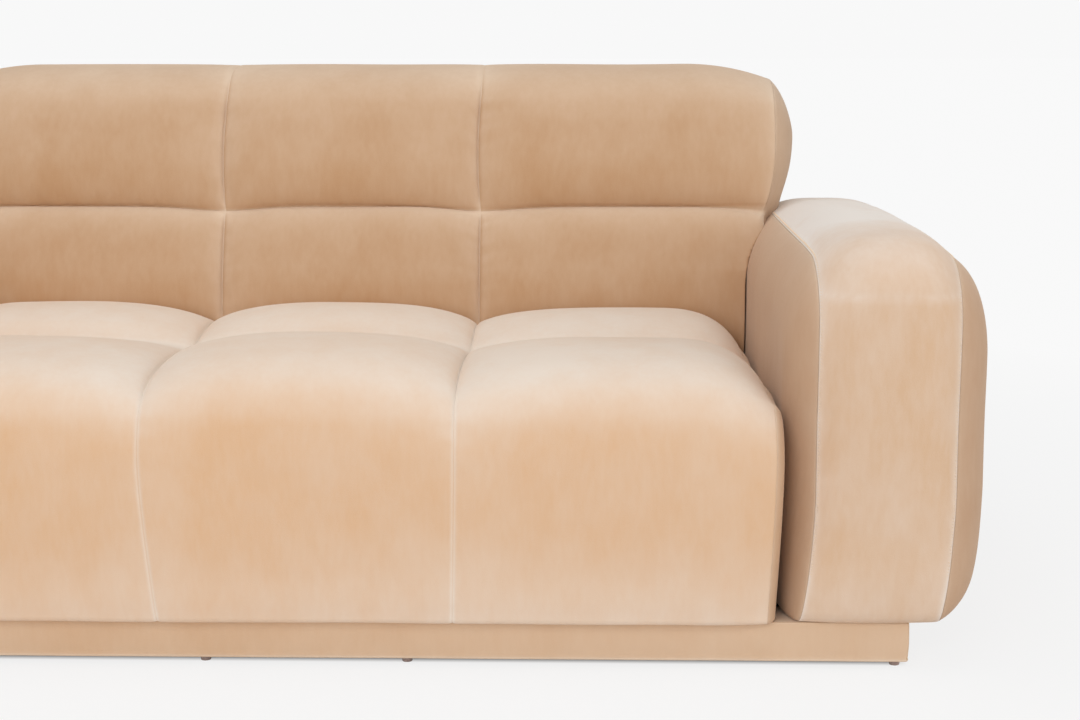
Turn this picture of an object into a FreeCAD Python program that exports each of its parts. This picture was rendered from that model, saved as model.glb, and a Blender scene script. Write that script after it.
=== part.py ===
"""Lounge sofa: a plinth on glides, a webbed seat, a leaning back and two padded arms.

The seat and the back are quilted in a grid of three columns and two rows. Each arm is a box cushion,
a crowned band between two domed panels. X runs to the right as seen from the front, Y runs to the
rear, and Z runs up from the floor. Lengths are in millimetres.
"""
import FreeCAD, Part
import math
import os
import Sketcher

V = FreeCAD.Vector
doc = FreeCAD.newDocument("lounge_sofa")

# Driving dimensions
SIZES = {
    # Plinth and what is under it
    "glide_height": 11,
    "glide_radius": 9,
    "glide_sole": 7,
    "glide_inner": 142,
    "glide_edge": 16,
    "plinth_width": 1676,
    "plinth_depth": 835,
    "plinth_height": 56,
    "plinth_setback": 35,
    "plinth_rail": 45,
    "plinth_corner": 12,
    "cross_rail_outer": 480,
    "plinth_block": 40,
    "velvet": 2,
    "cover_return": 30,
    "dust_cover": 1,
    # Seat frame and webbing
    "seat_rail": 25,
    "seat_rail_height": 130,
    "stretcher_height": 90,
    "corner_block": 80,
    "block_height": 60,
    "strap_width": 60,
    "strap": 1.5,
    # Seat upholstery
    "seat_width": 1310,
    "seat_depth": 605,
    "seat_height": 440,
    "middle_column": 428,
    "front_row": 360,
    "seat_tuft": 42,
    "seat_row_tuft": 30,
    "front_tuft": 20,
    "front_bulge_drop": 150,
    "foot_set": 14,
    "shoulder_drop": 95,
    "seat_topper": 140,
    "seat_front_pad": 50,
    "seat_side_pad": 60,
    "seat_tuck": 90,
    "seat_tuck_drop": 42,
    "seat_gusset": 8,
    # Back frame
    "post": 25,
    "back_rail": 25,
    "lower_rail_height": 90,
    "rear_board": 15,
    "rear_lean": 60,
    # Back upholstery
    "back_height": 808,
    "back_rake": 133,
    "back_thickness": 215,
    "lower_row": 178,
    "back_crown": 35,
    "back_tuft": 16,
    "back_quilt": 35,
    "back_foam": 60,
    "back_top_pad": 60,
    "back_side_gap": 5,
    "back_panel_reach": 59,
    "back_gusset": 36,
    # Arms
    "arm_band": 184,
    "arm_dome": 55,
    "dome_draw": 110,
    "arm_height": 598,
    "arm_crown": 36,
    "arm_length": 890,
    "arm_setback": 15,
    "arm_face_crown": 30,
    "arm_round": 100,
    "arm_foot_round": 25,
    "arm_pad": 60,
    "arm_board": 20,
    "face_board": 4,
    # Fasteners and fits
    "bolt_radius": 4,
    "bolt_head_radius": 9,
    "bolt_head": 5,
    "bolt_bite": 70,
    "screw_radius": 2.5,
    "screw_head_radius": 5,
    "screw_head": 3,
    "screw_bite": 40,
    "fit_gap": 0.5,
}

sheet = doc.addObject("Spreadsheet::Sheet", "sizes")
for row, (name, number) in enumerate(SIZES.items(), start=1):
    sheet.set("A%d" % row, name)
    sheet.set("B%d" % row, str(number))
    sheet.setAlias("B%d" % row, name)
doc.recompute()

# Levels and lines that several pieces share, each worked out from the driving dimensions
SHARED = {
    "front": "-(sizes.seat_depth + sizes.back_rake + sizes.back_thickness) / 2",
    "rear": "(sizes.seat_depth + sizes.back_rake + sizes.back_thickness) / 2",
    "rail_floor": "sizes.glide_height + sizes.velvet",
    "plinth_top": "sizes.glide_height + sizes.plinth_height",
    "plinth_front": "front + sizes.plinth_setback",
    "plinth_rear": "plinth_front + sizes.plinth_depth",
    "plinth_half": "sizes.plinth_width / 2",
    "rail_half": "plinth_half - sizes.velvet",
    "rail_front": "plinth_front + sizes.velvet",
    "rail_rear": "plinth_rear - sizes.velvet",
    "frame_half": "sizes.seat_width / 2 - sizes.seat_side_pad",
    "frame_front": "front + sizes.seat_front_pad",
    "seat_rear": "front + sizes.seat_depth + sizes.seat_tuck",
    "deck": "plinth_top + sizes.seat_rail_height",
    "foam_floor": "deck + 2 * sizes.strap",
    "foam_top": "sizes.seat_height - sizes.seat_topper",
    "column_half": "sizes.middle_column / 2",
    "back_foot": "sizes.seat_height - sizes.seat_tuck_drop + sizes.fit_gap",
    "back_lid": "sizes.back_height - sizes.back_top_pad",
    "back_slope": "sizes.back_rake / (sizes.back_height - back_foot)",
    "rear_slope": "sizes.rear_lean / (back_lid - plinth_top)",
    "block_half": "sizes.seat_width / 2 - sizes.back_side_gap",
    "quilt_foot": "front + sizes.seat_depth + sizes.back_quilt",
    "web_foot": "quilt_foot + sizes.back_foam",
    "post_foot": "web_foot + 2 * sizes.strap",
    "post_knee": "back_foot - (post_foot - seat_rear) / back_slope",
    "post_top": "back_lid - sizes.back_rail",
    "arm_seam_in": "sizes.seat_width / 2 + sizes.fit_gap + sizes.arm_dome",
    "arm_seam_out": "arm_seam_in + sizes.arm_band",
    "arm_front": "front + sizes.arm_setback",
    "arm_rear": "arm_front + sizes.arm_length",
    "core_front": "arm_front + sizes.arm_pad",
    "core_rear": "arm_rear - sizes.arm_pad",
    "core_top": "sizes.arm_height - sizes.arm_pad",
}

shared = doc.addObject("App::VarSet", "shared")
for name in SHARED:
    shared.addProperty("App::PropertyFloat", name)
for name, formula in SHARED.items():
    shared.setExpression(name, formula)
doc.recompute()

SIDES = {"left": -1, "right": 1}
pieces = []


def size(name):
    """A driving dimension as a number."""
    return float(sheet.get(name))


def at(obj, x="0", y="0", z="0"):
    """Ties an object's place to the sheet."""
    obj.setExpression("Placement.Base.x", x)
    obj.setExpression("Placement.Base.y", y)
    obj.setExpression("Placement.Base.z", z)
    return obj


def keep(obj):
    """Adds an object to the sub-parts that are written out."""
    pieces.append(obj)
    return obj


def box(name, length, width, height, x, y, z):
    """A board or block with its lowest corner at x, y, z."""
    obj = doc.addObject("Part::Box", name)
    obj.setExpression("Length", length)
    obj.setExpression("Width", width)
    obj.setExpression("Height", height)
    return at(obj, x, y, z)


def group(name, parts):
    """Like pieces that share one node."""
    obj = doc.addObject("Part::Compound", name)
    obj.Links = parts
    return obj


def cut(name, blank, tools):
    """A blank less the places that the tools take up."""
    tool = tools[0] if len(tools) == 1 else group(name + "_tools", tools)
    obj = doc.addObject("Part::Cut", name)
    obj.Base = blank
    obj.Tool = tool
    return obj


def plane_of(body, role):
    for feature in body.Origin.OriginFeatures:
        if feature.Role == role:
            return feature


def outline(body, name, role, corners):
    """A closed outline of straight lines on one of the body's own planes, each corner tied to the sheet."""
    sketch = body.newObject("Sketcher::SketchObject", name)
    sketch.AttachmentSupport = [(plane_of(body, role), "")]
    sketch.MapMode = "FlatFace"
    count = len(corners)
    start = [V(math.cos(2 * math.pi * i / count), math.sin(2 * math.pi * i / count)) for i in range(count)]
    for i in range(count):
        sketch.addGeometry(Part.LineSegment(start[i], start[(i + 1) % count]), False)
    for i in range(count):
        sketch.addConstraint(Sketcher.Constraint("Coincident", i, 2, (i + 1) % count, 1))
    for i, (across, up) in enumerate(corners):
        for kind, formula, guess in (("DistanceX", across, start[i].x), ("DistanceY", up, start[i].y)):
            index = sketch.addConstraint(Sketcher.Constraint(kind, -1, 1, i, 1, guess))
            label = "%s%d" % (kind, i)
            sketch.renameConstraint(index, label)
            sketch.setExpression("Constraints." + label, formula)
    return sketch


def profile(name, role, corners, depth):
    """A body padded from an outline, along the normal of the plane that it is drawn on."""
    body = doc.addObject("PartDesign::Body", name)
    sketch = outline(body, name + "_outline", role, corners)
    pad = body.newObject("PartDesign::Pad", name + "_pad")
    pad.Profile = sketch
    pad.setExpression("Length", depth)
    body.Tip = pad
    return body


def turned(name, corners):
    """A body turned about its upright axis from half of its outline."""
    body = doc.addObject("PartDesign::Body", name)
    sketch = outline(body, name + "_outline", "XZ_Plane", corners)
    lathe = body.newObject("PartDesign::Revolution", name + "_lathe")
    lathe.Profile = sketch
    lathe.ReferenceAxis = (sketch, ["V_Axis"])
    lathe.Angle = 360
    body.Tip = lathe
    return body


def rod(name, radius, length):
    """A rod of eight flat sides that stands on its lower end."""
    angles = [math.pi * i / 4 for i in range(8)]
    corners = [("%s * %.4f" % (radius, math.cos(a)), "%s * %.4f" % (radius, math.sin(a))) for a in angles]
    return profile(name, "XY_Plane", corners, length)


def fastener(name, kind, length):
    """A screw or a bolt, its head below and its shank above."""
    head = rod(name + "_head", "sizes.%s_head_radius" % kind, "sizes.%s_head" % kind)
    shank = rod(name + "_shank", "sizes.%s_radius" % kind, length)
    obj = doc.addObject("Part::MultiFuse", name)
    obj.Shapes = [head, shank]
    return obj


def arc_from(start, heading, end):
    """The arc that leaves start along heading and reaches end."""
    chord = end.sub(start)
    normal = V(0, -heading.z, heading.y)
    turn = math.atan2(chord.dot(normal), chord.dot(heading))
    bow = V(0, chord.z, -chord.y).multiply(math.tan(turn / 2) / 2)
    middle = start.add(end).multiply(0.5).add(bow)
    return Part.Arc(start, middle, end).toShape()


def round_over(start, heading, end, end_heading):
    """Two arcs that run smoothly from start to end and leave and arrive along the given headings."""
    chord = end.sub(start)
    both = heading.add(end_heading)
    spread = 2 * (1 - heading.dot(end_heading))
    lead = chord.dot(both)
    reach = (math.sqrt(lead * lead + 2 * spread * chord.dot(chord)) - lead) / spread
    joint = start.add(end).add(heading.sub(end_heading).multiply(reach)).multiply(0.5)
    first = arc_from(start, heading, joint)
    second = arc_from(end, end_heading.negative(), joint)
    return [first, second]


def line(start, end):
    return Part.LineSegment(start, end).toShape()


def section(edges):
    return Part.Wire(Part.__sortEdges__(edges))


def soft(name, sections):
    """A padded piece, lofted through its sections from side to side."""
    obj = doc.addObject("Part::Feature", name)
    obj.Shape = Part.makeLoft(sections, True, True).removeSplitter()
    obj.Placement = FreeCAD.Placement()
    return obj


UP = V(0, 0, 1)
DOWN = V(0, 0, -1)
REARWARD = V(0, 1, 0)
FORWARD = V(0, -1, 0)

# Glides, tapered plastic feet tacked under the front and the rear rail of the plinth
glide_rows = ("shared.rail_front + sizes.plinth_rail / 2", "shared.rail_rear - sizes.plinth_rail / 2")
glide_columns = (
    "-(shared.plinth_half - sizes.glide_edge)",
    "-sizes.glide_inner",
    "sizes.glide_inner",
    "shared.plinth_half - sizes.glide_edge",
)
GLIDE_OUTLINE = (
    ("0", "0"),
    ("sizes.glide_sole", "0"),
    ("sizes.glide_radius", "sizes.glide_height"),
    ("0", "sizes.glide_height"),
)
keep(group("floor_glides", [
    at(turned("glide_%d_%d" % (i, j), GLIDE_OUTLINE), x, y)
    for i, y in enumerate(glide_rows)
    for j, x in enumerate(glide_columns)
]))

# Screws that rise through the plinth's rails into the seat frame and the arms, their heads let in
screw_length = "(shared.plinth_top - shared.rail_floor + sizes.screw_bite)"
seat_screw_places = [
    ("%d / 6 * shared.frame_half" % share, "shared.frame_front + sizes.seat_rail / 2")
    for share in (-4, -1, 1, 4)
]
seat_screw_places += [
    ("%d * sizes.glide_inner" % sign, "shared.seat_rear - sizes.seat_rail / 2") for sign in SIDES.values()
]
arm_screw_places = [
    ("%d * (shared.rail_half - sizes.plinth_rail / 2)" % sign, y)
    for sign in SIDES.values()
    for y in (
        "max(shared.core_front; shared.rail_front) + 2 * sizes.arm_board",
        "min(shared.core_rear; shared.rail_rear) - 2 * sizes.arm_board",
    )
]


def screws(name, places):
    return group(name, [
        at(fastener("%s_%d" % (name, i), "screw", screw_length), x, y, "shared.rail_floor")
        for i, (x, y) in enumerate(places)
    ])


seat_screws = keep(screws("seat_screws", seat_screw_places))
arm_screws = keep(screws("arm_screws", arm_screw_places))

# Plinth frame of timber rails under one velvet cover
rail_height = "sizes.plinth_height - sizes.velvet"
blank = box("plinth_front_rail_blank", "2 * shared.rail_half", "sizes.plinth_rail", rail_height,
            "-shared.rail_half", "shared.rail_front", "shared.rail_floor")
keep(cut("plinth_front_rail", blank, [seat_screws]))
keep(box("plinth_rear_rail", "2 * shared.rail_half", "sizes.plinth_rail", rail_height,
         "-shared.rail_half", "shared.rail_rear - sizes.plinth_rail", "shared.rail_floor"))
between_rails = "shared.rail_rear - shared.rail_front - 2 * sizes.plinth_rail"
behind_front_rail = "shared.rail_front + sizes.plinth_rail"
for side, sign in SIDES.items():
    name = "plinth_%s_rail" % side
    x = "%d * (shared.rail_half - sizes.plinth_rail / 2) - sizes.plinth_rail / 2" % sign
    blank = box(name + "_blank", "sizes.plinth_rail", between_rails, rail_height,
                x, behind_front_rail, "shared.rail_floor")
    keep(cut(name, blank, [arm_screws]))
cross_rails = [
    box("cross_rail_%d" % i, "sizes.plinth_rail", between_rails, rail_height,
        "%s - sizes.plinth_rail / 2" % x, behind_front_rail, "shared.rail_floor")
    for i, x in enumerate(
        ("-sizes.cross_rail_outer", "-sizes.glide_inner", "sizes.glide_inner", "sizes.cross_rail_outer"))
]
cross_blank = group("cross_rail_blanks", cross_rails)
keep(cut("plinth_cross_rails", cross_blank, [seat_screws]))

# The velvet goes round the rails and is folded under them, with the dust cover stapled inside the fold
plinth_cover = doc.addObject("PartDesign::Body", "plinth_cover_blank")
ring = outline(plinth_cover, "plinth_outline", "XY_Plane", (
    ("-shared.plinth_half", "shared.plinth_front"),
    ("shared.plinth_half", "shared.plinth_front"),
    ("shared.plinth_half", "shared.plinth_rear"),
    ("-shared.plinth_half", "shared.plinth_rear"),
))
wall = plinth_cover.newObject("PartDesign::Pad", "plinth_wall")
wall.Profile = ring
wall.setExpression("Length", "sizes.plinth_height")
doc.recompute()
corner_edges = []
for i, edge in enumerate(wall.Shape.Edges, start=1):
    if edge.BoundBox.ZLength > size("plinth_height") / 2:
        corner_edges.append("Edge%d" % i)
rounded = plinth_cover.newObject("PartDesign::Fillet", "plinth_corners")
rounded.Base = (wall, corner_edges)
rounded.setExpression("Radius", "sizes.plinth_corner")
plinth_cover.Tip = rounded
at(plinth_cover, z="sizes.glide_height")
rail_space = box("rail_space", "2 * shared.rail_half", "shared.rail_rear - shared.rail_front",
                 "sizes.plinth_height", "-shared.rail_half", "shared.rail_front", "shared.rail_floor")
fold = "(sizes.velvet + sizes.cover_return)"
fold_window = box("fold_window", "sizes.plinth_width - 2 * %s" % fold, "sizes.plinth_depth - 2 * %s" % fold,
                  "sizes.plinth_height", "-shared.plinth_half + %s" % fold,
                  "shared.plinth_front + %s" % fold, "0")
keep(cut("plinth_cover", plinth_cover, [rail_space, fold_window]))
keep(box("dust_cover", "sizes.plinth_width - 2 * %s - 2 * sizes.fit_gap" % fold,
         "sizes.plinth_depth - 2 * %s - 2 * sizes.fit_gap" % fold, "sizes.dust_cover",
         "-shared.plinth_half + %s + sizes.fit_gap" % fold,
         "shared.plinth_front + %s + sizes.fit_gap" % fold, "shared.rail_floor - sizes.dust_cover"))


# Seat frame: four rails, two stretchers, a block glued in each corner, and the bolts of the back's posts
post_places = {
    "left_end": "-shared.block_half + sizes.post / 2",
    "left_middle": "-shared.column_half",
    "right_middle": "shared.column_half",
    "right_end": "shared.block_half - sizes.post / 2",
}
bolt_length = "(sizes.bolt_head + sizes.seat_rail + sizes.bolt_bite)"
bolts = []
for place in ("left_middle", "right_middle"):
    for i, share in enumerate((1, 3)):
        bolt = fastener("back_bolt_%s_%d" % (place, i), "bolt", bolt_length)
        bolt.Placement = FreeCAD.Placement(V(), FreeCAD.Rotation(V(1, 0, 0), -90))
        at(bolt, post_places[place], "shared.seat_rear - sizes.seat_rail - sizes.bolt_head",
           "shared.plinth_top + sizes.seat_rail_height * %d / 4" % share)
        bolts.append(bolt)
back_bolts = keep(group("back_bolts", bolts))

blank = box("seat_front_rail_blank", "2 * shared.frame_half", "sizes.seat_rail", "sizes.seat_rail_height",
            "-shared.frame_half", "shared.frame_front", "shared.plinth_top")
keep(cut("seat_front_rail", blank, [seat_screws]))
blank = box("seat_rear_rail_blank", "2 * shared.frame_half", "sizes.seat_rail", "sizes.seat_rail_height",
            "-shared.frame_half", "shared.seat_rear - sizes.seat_rail", "shared.plinth_top")
keep(cut("seat_rear_rail", blank, [seat_screws, back_bolts]))
rail_run = "shared.seat_rear - shared.frame_front - 2 * sizes.seat_rail"
behind_seat_rail = "shared.frame_front + sizes.seat_rail"
for side, sign in SIDES.items():
    x = "%d * (shared.frame_half - sizes.seat_rail / 2) - sizes.seat_rail / 2" % sign
    keep(box("seat_%s_rail" % side, "sizes.seat_rail", rail_run, "sizes.seat_rail_height",
             x, behind_seat_rail, "shared.plinth_top"))
keep(group("seat_stretchers", [
    box("stretcher_" + side, "sizes.seat_rail", rail_run, "sizes.stretcher_height",
        "%d * shared.column_half / 2 - sizes.seat_rail / 2" % sign, behind_seat_rail, "shared.plinth_top")
    for side, sign in SIDES.items()
]))


def corner_block(name, height, turn, x, y, z):
    """A three-cornered block, its square corner in the corner of the frame."""
    corners = (("0", "0"), ("sizes.corner_block", "0"), ("0", "sizes.corner_block"))
    body = profile(name, "XY_Plane", corners, height)
    body.Placement = FreeCAD.Placement(V(), FreeCAD.Rotation(V(0, 0, 1), turn))
    return at(body, x, y, z)


def corner_blocks(name, height, half, front, rear, floor):
    """The four blocks of a frame whose inner corners are at half, front and rear."""
    places = ((0, "-" + half, front), (90, half, front), (180, half, rear), (270, "-" + half, rear))
    return group(name, [
        corner_block("%s_%d" % (name, turn), height, turn, x, y, floor) for turn, x, y in places
    ])


keep(corner_blocks("seat_corner_blocks", "sizes.block_height", "(shared.frame_half - sizes.seat_rail)",
                   behind_seat_rail, "shared.seat_rear - sizes.seat_rail", "shared.plinth_top"))
keep(corner_blocks("plinth_corner_blocks", "sizes.plinth_block", "(shared.rail_half - sizes.plinth_rail)",
                   behind_front_rail, "shared.rail_rear - sizes.plinth_rail",
                   "shared.plinth_top - sizes.plinth_block"))

# Elastic webbing, one set of straps from front to rear and one across them
LENGTHWISE_STRAPS = 9
CROSSWISE_STRAPS = 4
keep(group("seat_webbing_lengthwise", [
    box("seat_strap_long_%d" % i, "sizes.strap_width", "shared.seat_rear - shared.frame_front", "sizes.strap",
        "shared.frame_half * %d / %d - sizes.strap_width / 2"
        % (2 * i + 1 - LENGTHWISE_STRAPS, LENGTHWISE_STRAPS),
        "shared.frame_front", "shared.deck")
    for i in range(LENGTHWISE_STRAPS)
]))
keep(group("seat_webbing_crosswise", [
    box("seat_strap_cross_%d" % i, "2 * shared.frame_half", "sizes.strap_width", "sizes.strap",
        "-shared.frame_half",
        "shared.frame_front + (shared.seat_rear - shared.frame_front) * %d / %d - sizes.strap_width / 2"
        % (2 * i + 1, 2 * CROSSWISE_STRAPS), "shared.deck + sizes.strap")
    for i in range(CROSSWISE_STRAPS)
]))

# Seat foam, a plain block on the webbing, and a side pad on each end of the frame
keep(box("seat_foam", "2 * shared.frame_half", "shared.seat_rear - shared.frame_front",
         "shared.foam_top - shared.foam_floor",
         "-shared.frame_half", "shared.frame_front", "shared.foam_floor"))
pad_width = "(sizes.seat_side_pad - sizes.seat_gusset)"
keep(group("seat_side_pads", [
    box("side_pad_" + side, pad_width, "shared.seat_rear - shared.frame_front",
        "shared.foam_top - shared.plinth_top",
        "%d * (shared.frame_half + %s / 2) - %s / 2" % (sign, pad_width, pad_width),
        "shared.frame_front", "shared.plinth_top")
    for side, sign in SIDES.items()
]))

# Quilted seat cover. A section's fullness is 0 in a sewn seam and 1 on the crown of a column, and its
# shoulder is 1 where the seat rounds down to the arm.
SEAM_DIP = 0.4
LEAST_REAR_FALL = 5


def seat_lines(x, fullness, shoulder=0):
    """The upper line of the seat at x: its corners from the front foot to the rear edge, and its edges."""
    slack = 1 - fullness
    crest = size("seat_height") - slack * size("seat_tuft")
    crest -= shoulder * (size("shoulder_drop") - slack * size("seat_tuft"))
    dip = size("seat_row_tuft") * (SEAM_DIP + (1 - SEAM_DIP) * fullness)
    face = shared.front + slack * size("front_tuft")
    row_seam = shared.front + size("front_row")
    back_line = shared.front + size("seat_depth")
    foot = V(x, face + size("foot_set"), shared.plinth_top)
    bulge = V(x, face, size("seat_height") - size("front_bulge_drop"))
    front_crest = V(x, (shared.front + row_seam) / 2, crest)
    valley = V(x, row_seam, crest - dip)
    rear_crest = V(x, (row_seam + back_line) / 2, crest)
    rear_drop = min(shared.back_foot - size("fit_gap"), crest - LEAST_REAR_FALL)
    tuck = V(x, back_line, rear_drop)
    rear = V(x, shared.seat_rear, rear_drop)
    edges = [arc_from(bulge, DOWN, foot)]
    edges += round_over(bulge, UP, front_crest, REARWARD)
    edges.append(arc_from(front_crest, REARWARD, valley))
    edges.append(arc_from(rear_crest, FORWARD, valley))
    edges.append(arc_from(rear_crest, REARWARD, tuck))
    edges.append(line(tuck, rear))
    return foot, rear, edges


def seat_section(x, fullness, shoulder=0):
    """The quilted cover, from its upper line down to the foam and the front rail."""
    foot, rear, edges = seat_lines(x, fullness, shoulder)
    inner = [
        V(x, shared.seat_rear, shared.foam_top),
        V(x, shared.frame_front, shared.foam_top),
        V(x, shared.frame_front, shared.plinth_top),
    ]
    corners = [rear] + inner + [foot]
    edges += [line(start, end) for start, end in zip(corners, corners[1:])]
    return section(edges)


# Where a column's sections stand between its seams, how full they are there, and how far they have
# rounded down towards the arm in the outer columns
COLUMN_SHARES = (0.07, 0.2, 0.5, 0.8, 0.93)
COLUMN_FULLNESS = (0.4, 0.8, 1, 0.8, 0.4)
OUTER_SHOULDER = (0, 0, 0, 0.1, 0.2)
seams = [-shared.column_half, shared.column_half]
seat_end = size("seat_width") / 2 - size("seat_gusset")


def between(start, end):
    """Places of a column's sections between two seams."""
    return [start + share * (end - start) for share in COLUMN_SHARES]


outer_column = list(zip(between(seams[1], seat_end), COLUMN_FULLNESS, OUTER_SHOULDER))
outer_column.append((seat_end, 0, 1))
stations = [(-x, fullness, shoulder) for x, fullness, shoulder in reversed(outer_column)]
stations.append((seams[0], 0, 0))
stations += [(x, fullness, 0) for x, fullness in zip(between(*seams), COLUMN_FULLNESS)]
stations.append((seams[1], 0, 0))
stations += outer_column
keep(soft("seat_cover", [seat_section(*station) for station in stations]))


# End gussets of the seat, flat panels with a slight crown where the seat meets the arms
def gusset_section(x, inset):
    """The outline of the seat's end, drawn in by inset."""
    low = shared.plinth_top + inset
    high = size("seat_height") - size("shoulder_drop") - inset
    face = shared.front + size("front_tuft") + size("foot_set") + inset
    rear = shared.seat_rear - inset
    lift = size("front_bulge_drop") - size("shoulder_drop")
    corners = [
        V(x, face, low), V(x, rear, low), V(x, rear, high - lift), V(x, face + lift, high - lift),
        V(x, face, high - 2 * lift),
    ]
    return section([line(start, end) for start, end in zip(corners, corners[1:] + corners[:1])])


for side, sign in SIDES.items():
    gusset_places = ((seat_end, size("seat_gusset") / 2), (size("seat_width") / 2, 2 * size("seat_gusset")))
    keep(soft("seat_%s_gusset" % side, [gusset_section(sign * x, inset) for x, inset in gusset_places]))

# Back frame: four posts cut from board, leaning back above the seat, with a rail on top and rails between
post_outline = (
    ("shared.seat_rear", "shared.plinth_top"),
    ("shared.rear - sizes.rear_lean - sizes.rear_board", "shared.plinth_top"),
    ("shared.rear - sizes.rear_board - shared.rear_slope * sizes.back_rail", "shared.post_top"),
    ("shared.post_foot + shared.back_slope * (shared.post_top - shared.back_foot)", "shared.post_top"),
    ("shared.seat_rear", "shared.post_knee"),
)
for place, x in post_places.items():
    name = "back_%s_post" % place
    blank = profile(name + "_blank", "YZ_Plane", post_outline, "sizes.post")
    at(blank, "%s - sizes.post / 2" % x)
    keep(cut(name, blank, [back_bolts]))
lid_front = "(shared.post_foot + shared.back_slope * (shared.back_lid - shared.back_foot))"
lid_rear = "(shared.rear - sizes.rear_board - shared.rear_slope * sizes.back_rail)"
keep(box("back_top_rail", "2 * shared.block_half", "%s - %s" % (lid_rear, lid_front), "sizes.back_rail",
         "-shared.block_half", lid_front, "shared.post_top"))
rail_face = "(shared.post_foot + shared.back_slope * sizes.lower_rail_height)"
outer_span = "shared.block_half - shared.column_half - 3 * sizes.post / 2"
spans = (
    ("left", "-shared.block_half + sizes.post", outer_span),
    ("middle", "-shared.column_half + sizes.post / 2", "2 * shared.column_half - sizes.post"),
    ("right", "shared.column_half + sizes.post / 2", outer_span),
)
keep(group("back_lower_rails", [
    box("lower_rail_" + name, length, "sizes.back_rail", "sizes.lower_rail_height",
        x, rail_face, "shared.back_foot")
    for name, x, length in spans
]))


# Back webbing along the lean of the posts, upright straps behind and level straps in front of them
UPRIGHT_STRAPS = 8
LEVEL_STRAPS = 3


def strap_outline(face, low, high):
    """A thin strip along the lean of the back, from one level to another."""
    lean = "shared.%s + shared.back_slope * (%s - shared.back_foot)"
    return (
        (lean % (face, low) + " + sizes.strap", low),
        (lean % (face, high) + " + sizes.strap", high),
        (lean % (face, high), high),
        (lean % (face, low), low),
    )


upright = []
for i in range(UPRIGHT_STRAPS):
    strap = profile("back_strap_up_%d" % i, "YZ_Plane",
                    strap_outline("web_foot + sizes.strap", "shared.back_foot", "shared.back_lid"),
                    "sizes.strap_width")
    share = "%d / %d" % (2 * i + 1 - UPRIGHT_STRAPS, UPRIGHT_STRAPS)
    upright.append(at(strap, "shared.block_half * %s - sizes.strap_width / 2" % share))
keep(group("back_webbing_upright", upright))
level = []
for i in range(LEVEL_STRAPS):
    share = "%d / %d" % (i, LEVEL_STRAPS - 1)
    low = "(shared.back_foot + (shared.back_lid - shared.back_foot - sizes.strap_width) * %s)" % share
    strap = profile("back_strap_level_%d" % i, "YZ_Plane",
                    strap_outline("web_foot", low, "(%s + sizes.strap_width)" % low), "2 * shared.block_half")
    level.append(at(strap, "-shared.block_half"))
keep(group("back_webbing_level", level))

# Back foam, a slab that leans with the posts, and the velvet-covered board that closes the rear
lid_rise = "shared.back_slope * (shared.back_lid - shared.back_foot)"
foam = profile("back_foam", "YZ_Plane", (
    ("shared.quilt_foot", "shared.back_foot"),
    ("shared.web_foot", "shared.back_foot"),
    ("shared.web_foot + " + lid_rise, "shared.back_lid"),
    ("shared.quilt_foot + " + lid_rise, "shared.back_lid"),
), "2 * shared.block_half")
keep(at(foam, "-shared.block_half"))
rear_panel = profile("back_rear_panel", "YZ_Plane", (
    ("shared.rear - sizes.rear_lean - sizes.rear_board", "shared.plinth_top"),
    ("shared.rear - sizes.rear_lean", "shared.plinth_top"),
    ("shared.rear", "shared.back_lid"),
    ("shared.rear - sizes.rear_board", "shared.back_lid"),
), "2 * shared.block_half")
keep(at(rear_panel, "-shared.block_half"))

# Quilted back cover, with the same columns as the seat, over the front and the top of the back
LEAST_CROWN = 3
LEAST_FLAT = 10
lean = V(0, shared.back_slope, 1).normalize()


def back_line(height):
    """Where the seams of the back lie at a height."""
    return shared.front + size("seat_depth") + shared.back_slope * (height - shared.back_foot)


def crown_of(fullness):
    """How far a row of the back swells at its middle."""
    return LEAST_CROWN + (size("back_crown") - LEAST_CROWN) * fullness


def upper_row(x, fullness, seam, inset=0):
    """The upper row and the top of the back, from a seam to the rear edge, drawn in by inset."""
    crown = crown_of(fullness)
    top = size("back_height") - (1 - fullness) * size("back_tuft") - inset
    lid = shared.back_lid - inset
    breast_height = (seam + lid) / 2
    valley = V(x, back_line(seam) + inset, seam)
    breast = V(x, back_line(breast_height) - crown + inset, breast_height)
    rear_edge = V(x, shared.rear - inset, lid)
    rear_shoulder = V(x, rear_edge.y - (top - lid), top)
    middle = (back_line(shared.back_lid) + shared.rear) / 2
    peak = V(x, min(middle, rear_shoulder.y - LEAST_FLAT), top)
    edges = [arc_from(breast, lean.negative(), valley)]
    edges += round_over(breast, lean, peak, REARWARD)
    edges.append(line(peak, rear_shoulder))
    edges.append(arc_from(rear_shoulder, REARWARD, rear_edge))
    return valley, rear_edge, edges


def back_section(x, fullness):
    """The quilted cover, from its front and top to the foam and the rear edge."""
    crown = crown_of(fullness)
    valley, rear_edge, edges = upper_row(x, fullness, shared.back_foot + size("lower_row"))
    low = shared.back_foot
    swell_height = low + size("lower_row") / 2
    hem = V(x, back_line(low), low)
    swell = V(x, back_line(swell_height) - crown, swell_height)
    edges.append(arc_from(swell, lean.negative(), hem))
    edges.append(arc_from(swell, lean, valley))
    inner = [
        V(x, back_line(shared.back_lid) + size("back_quilt"), shared.back_lid),
        V(x, back_line(low) + size("back_quilt"), low),
    ]
    corners = [rear_edge] + inner + [hem]
    edges += [line(start, end) for start, end in zip(corners, corners[1:])]
    return section(edges)


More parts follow.
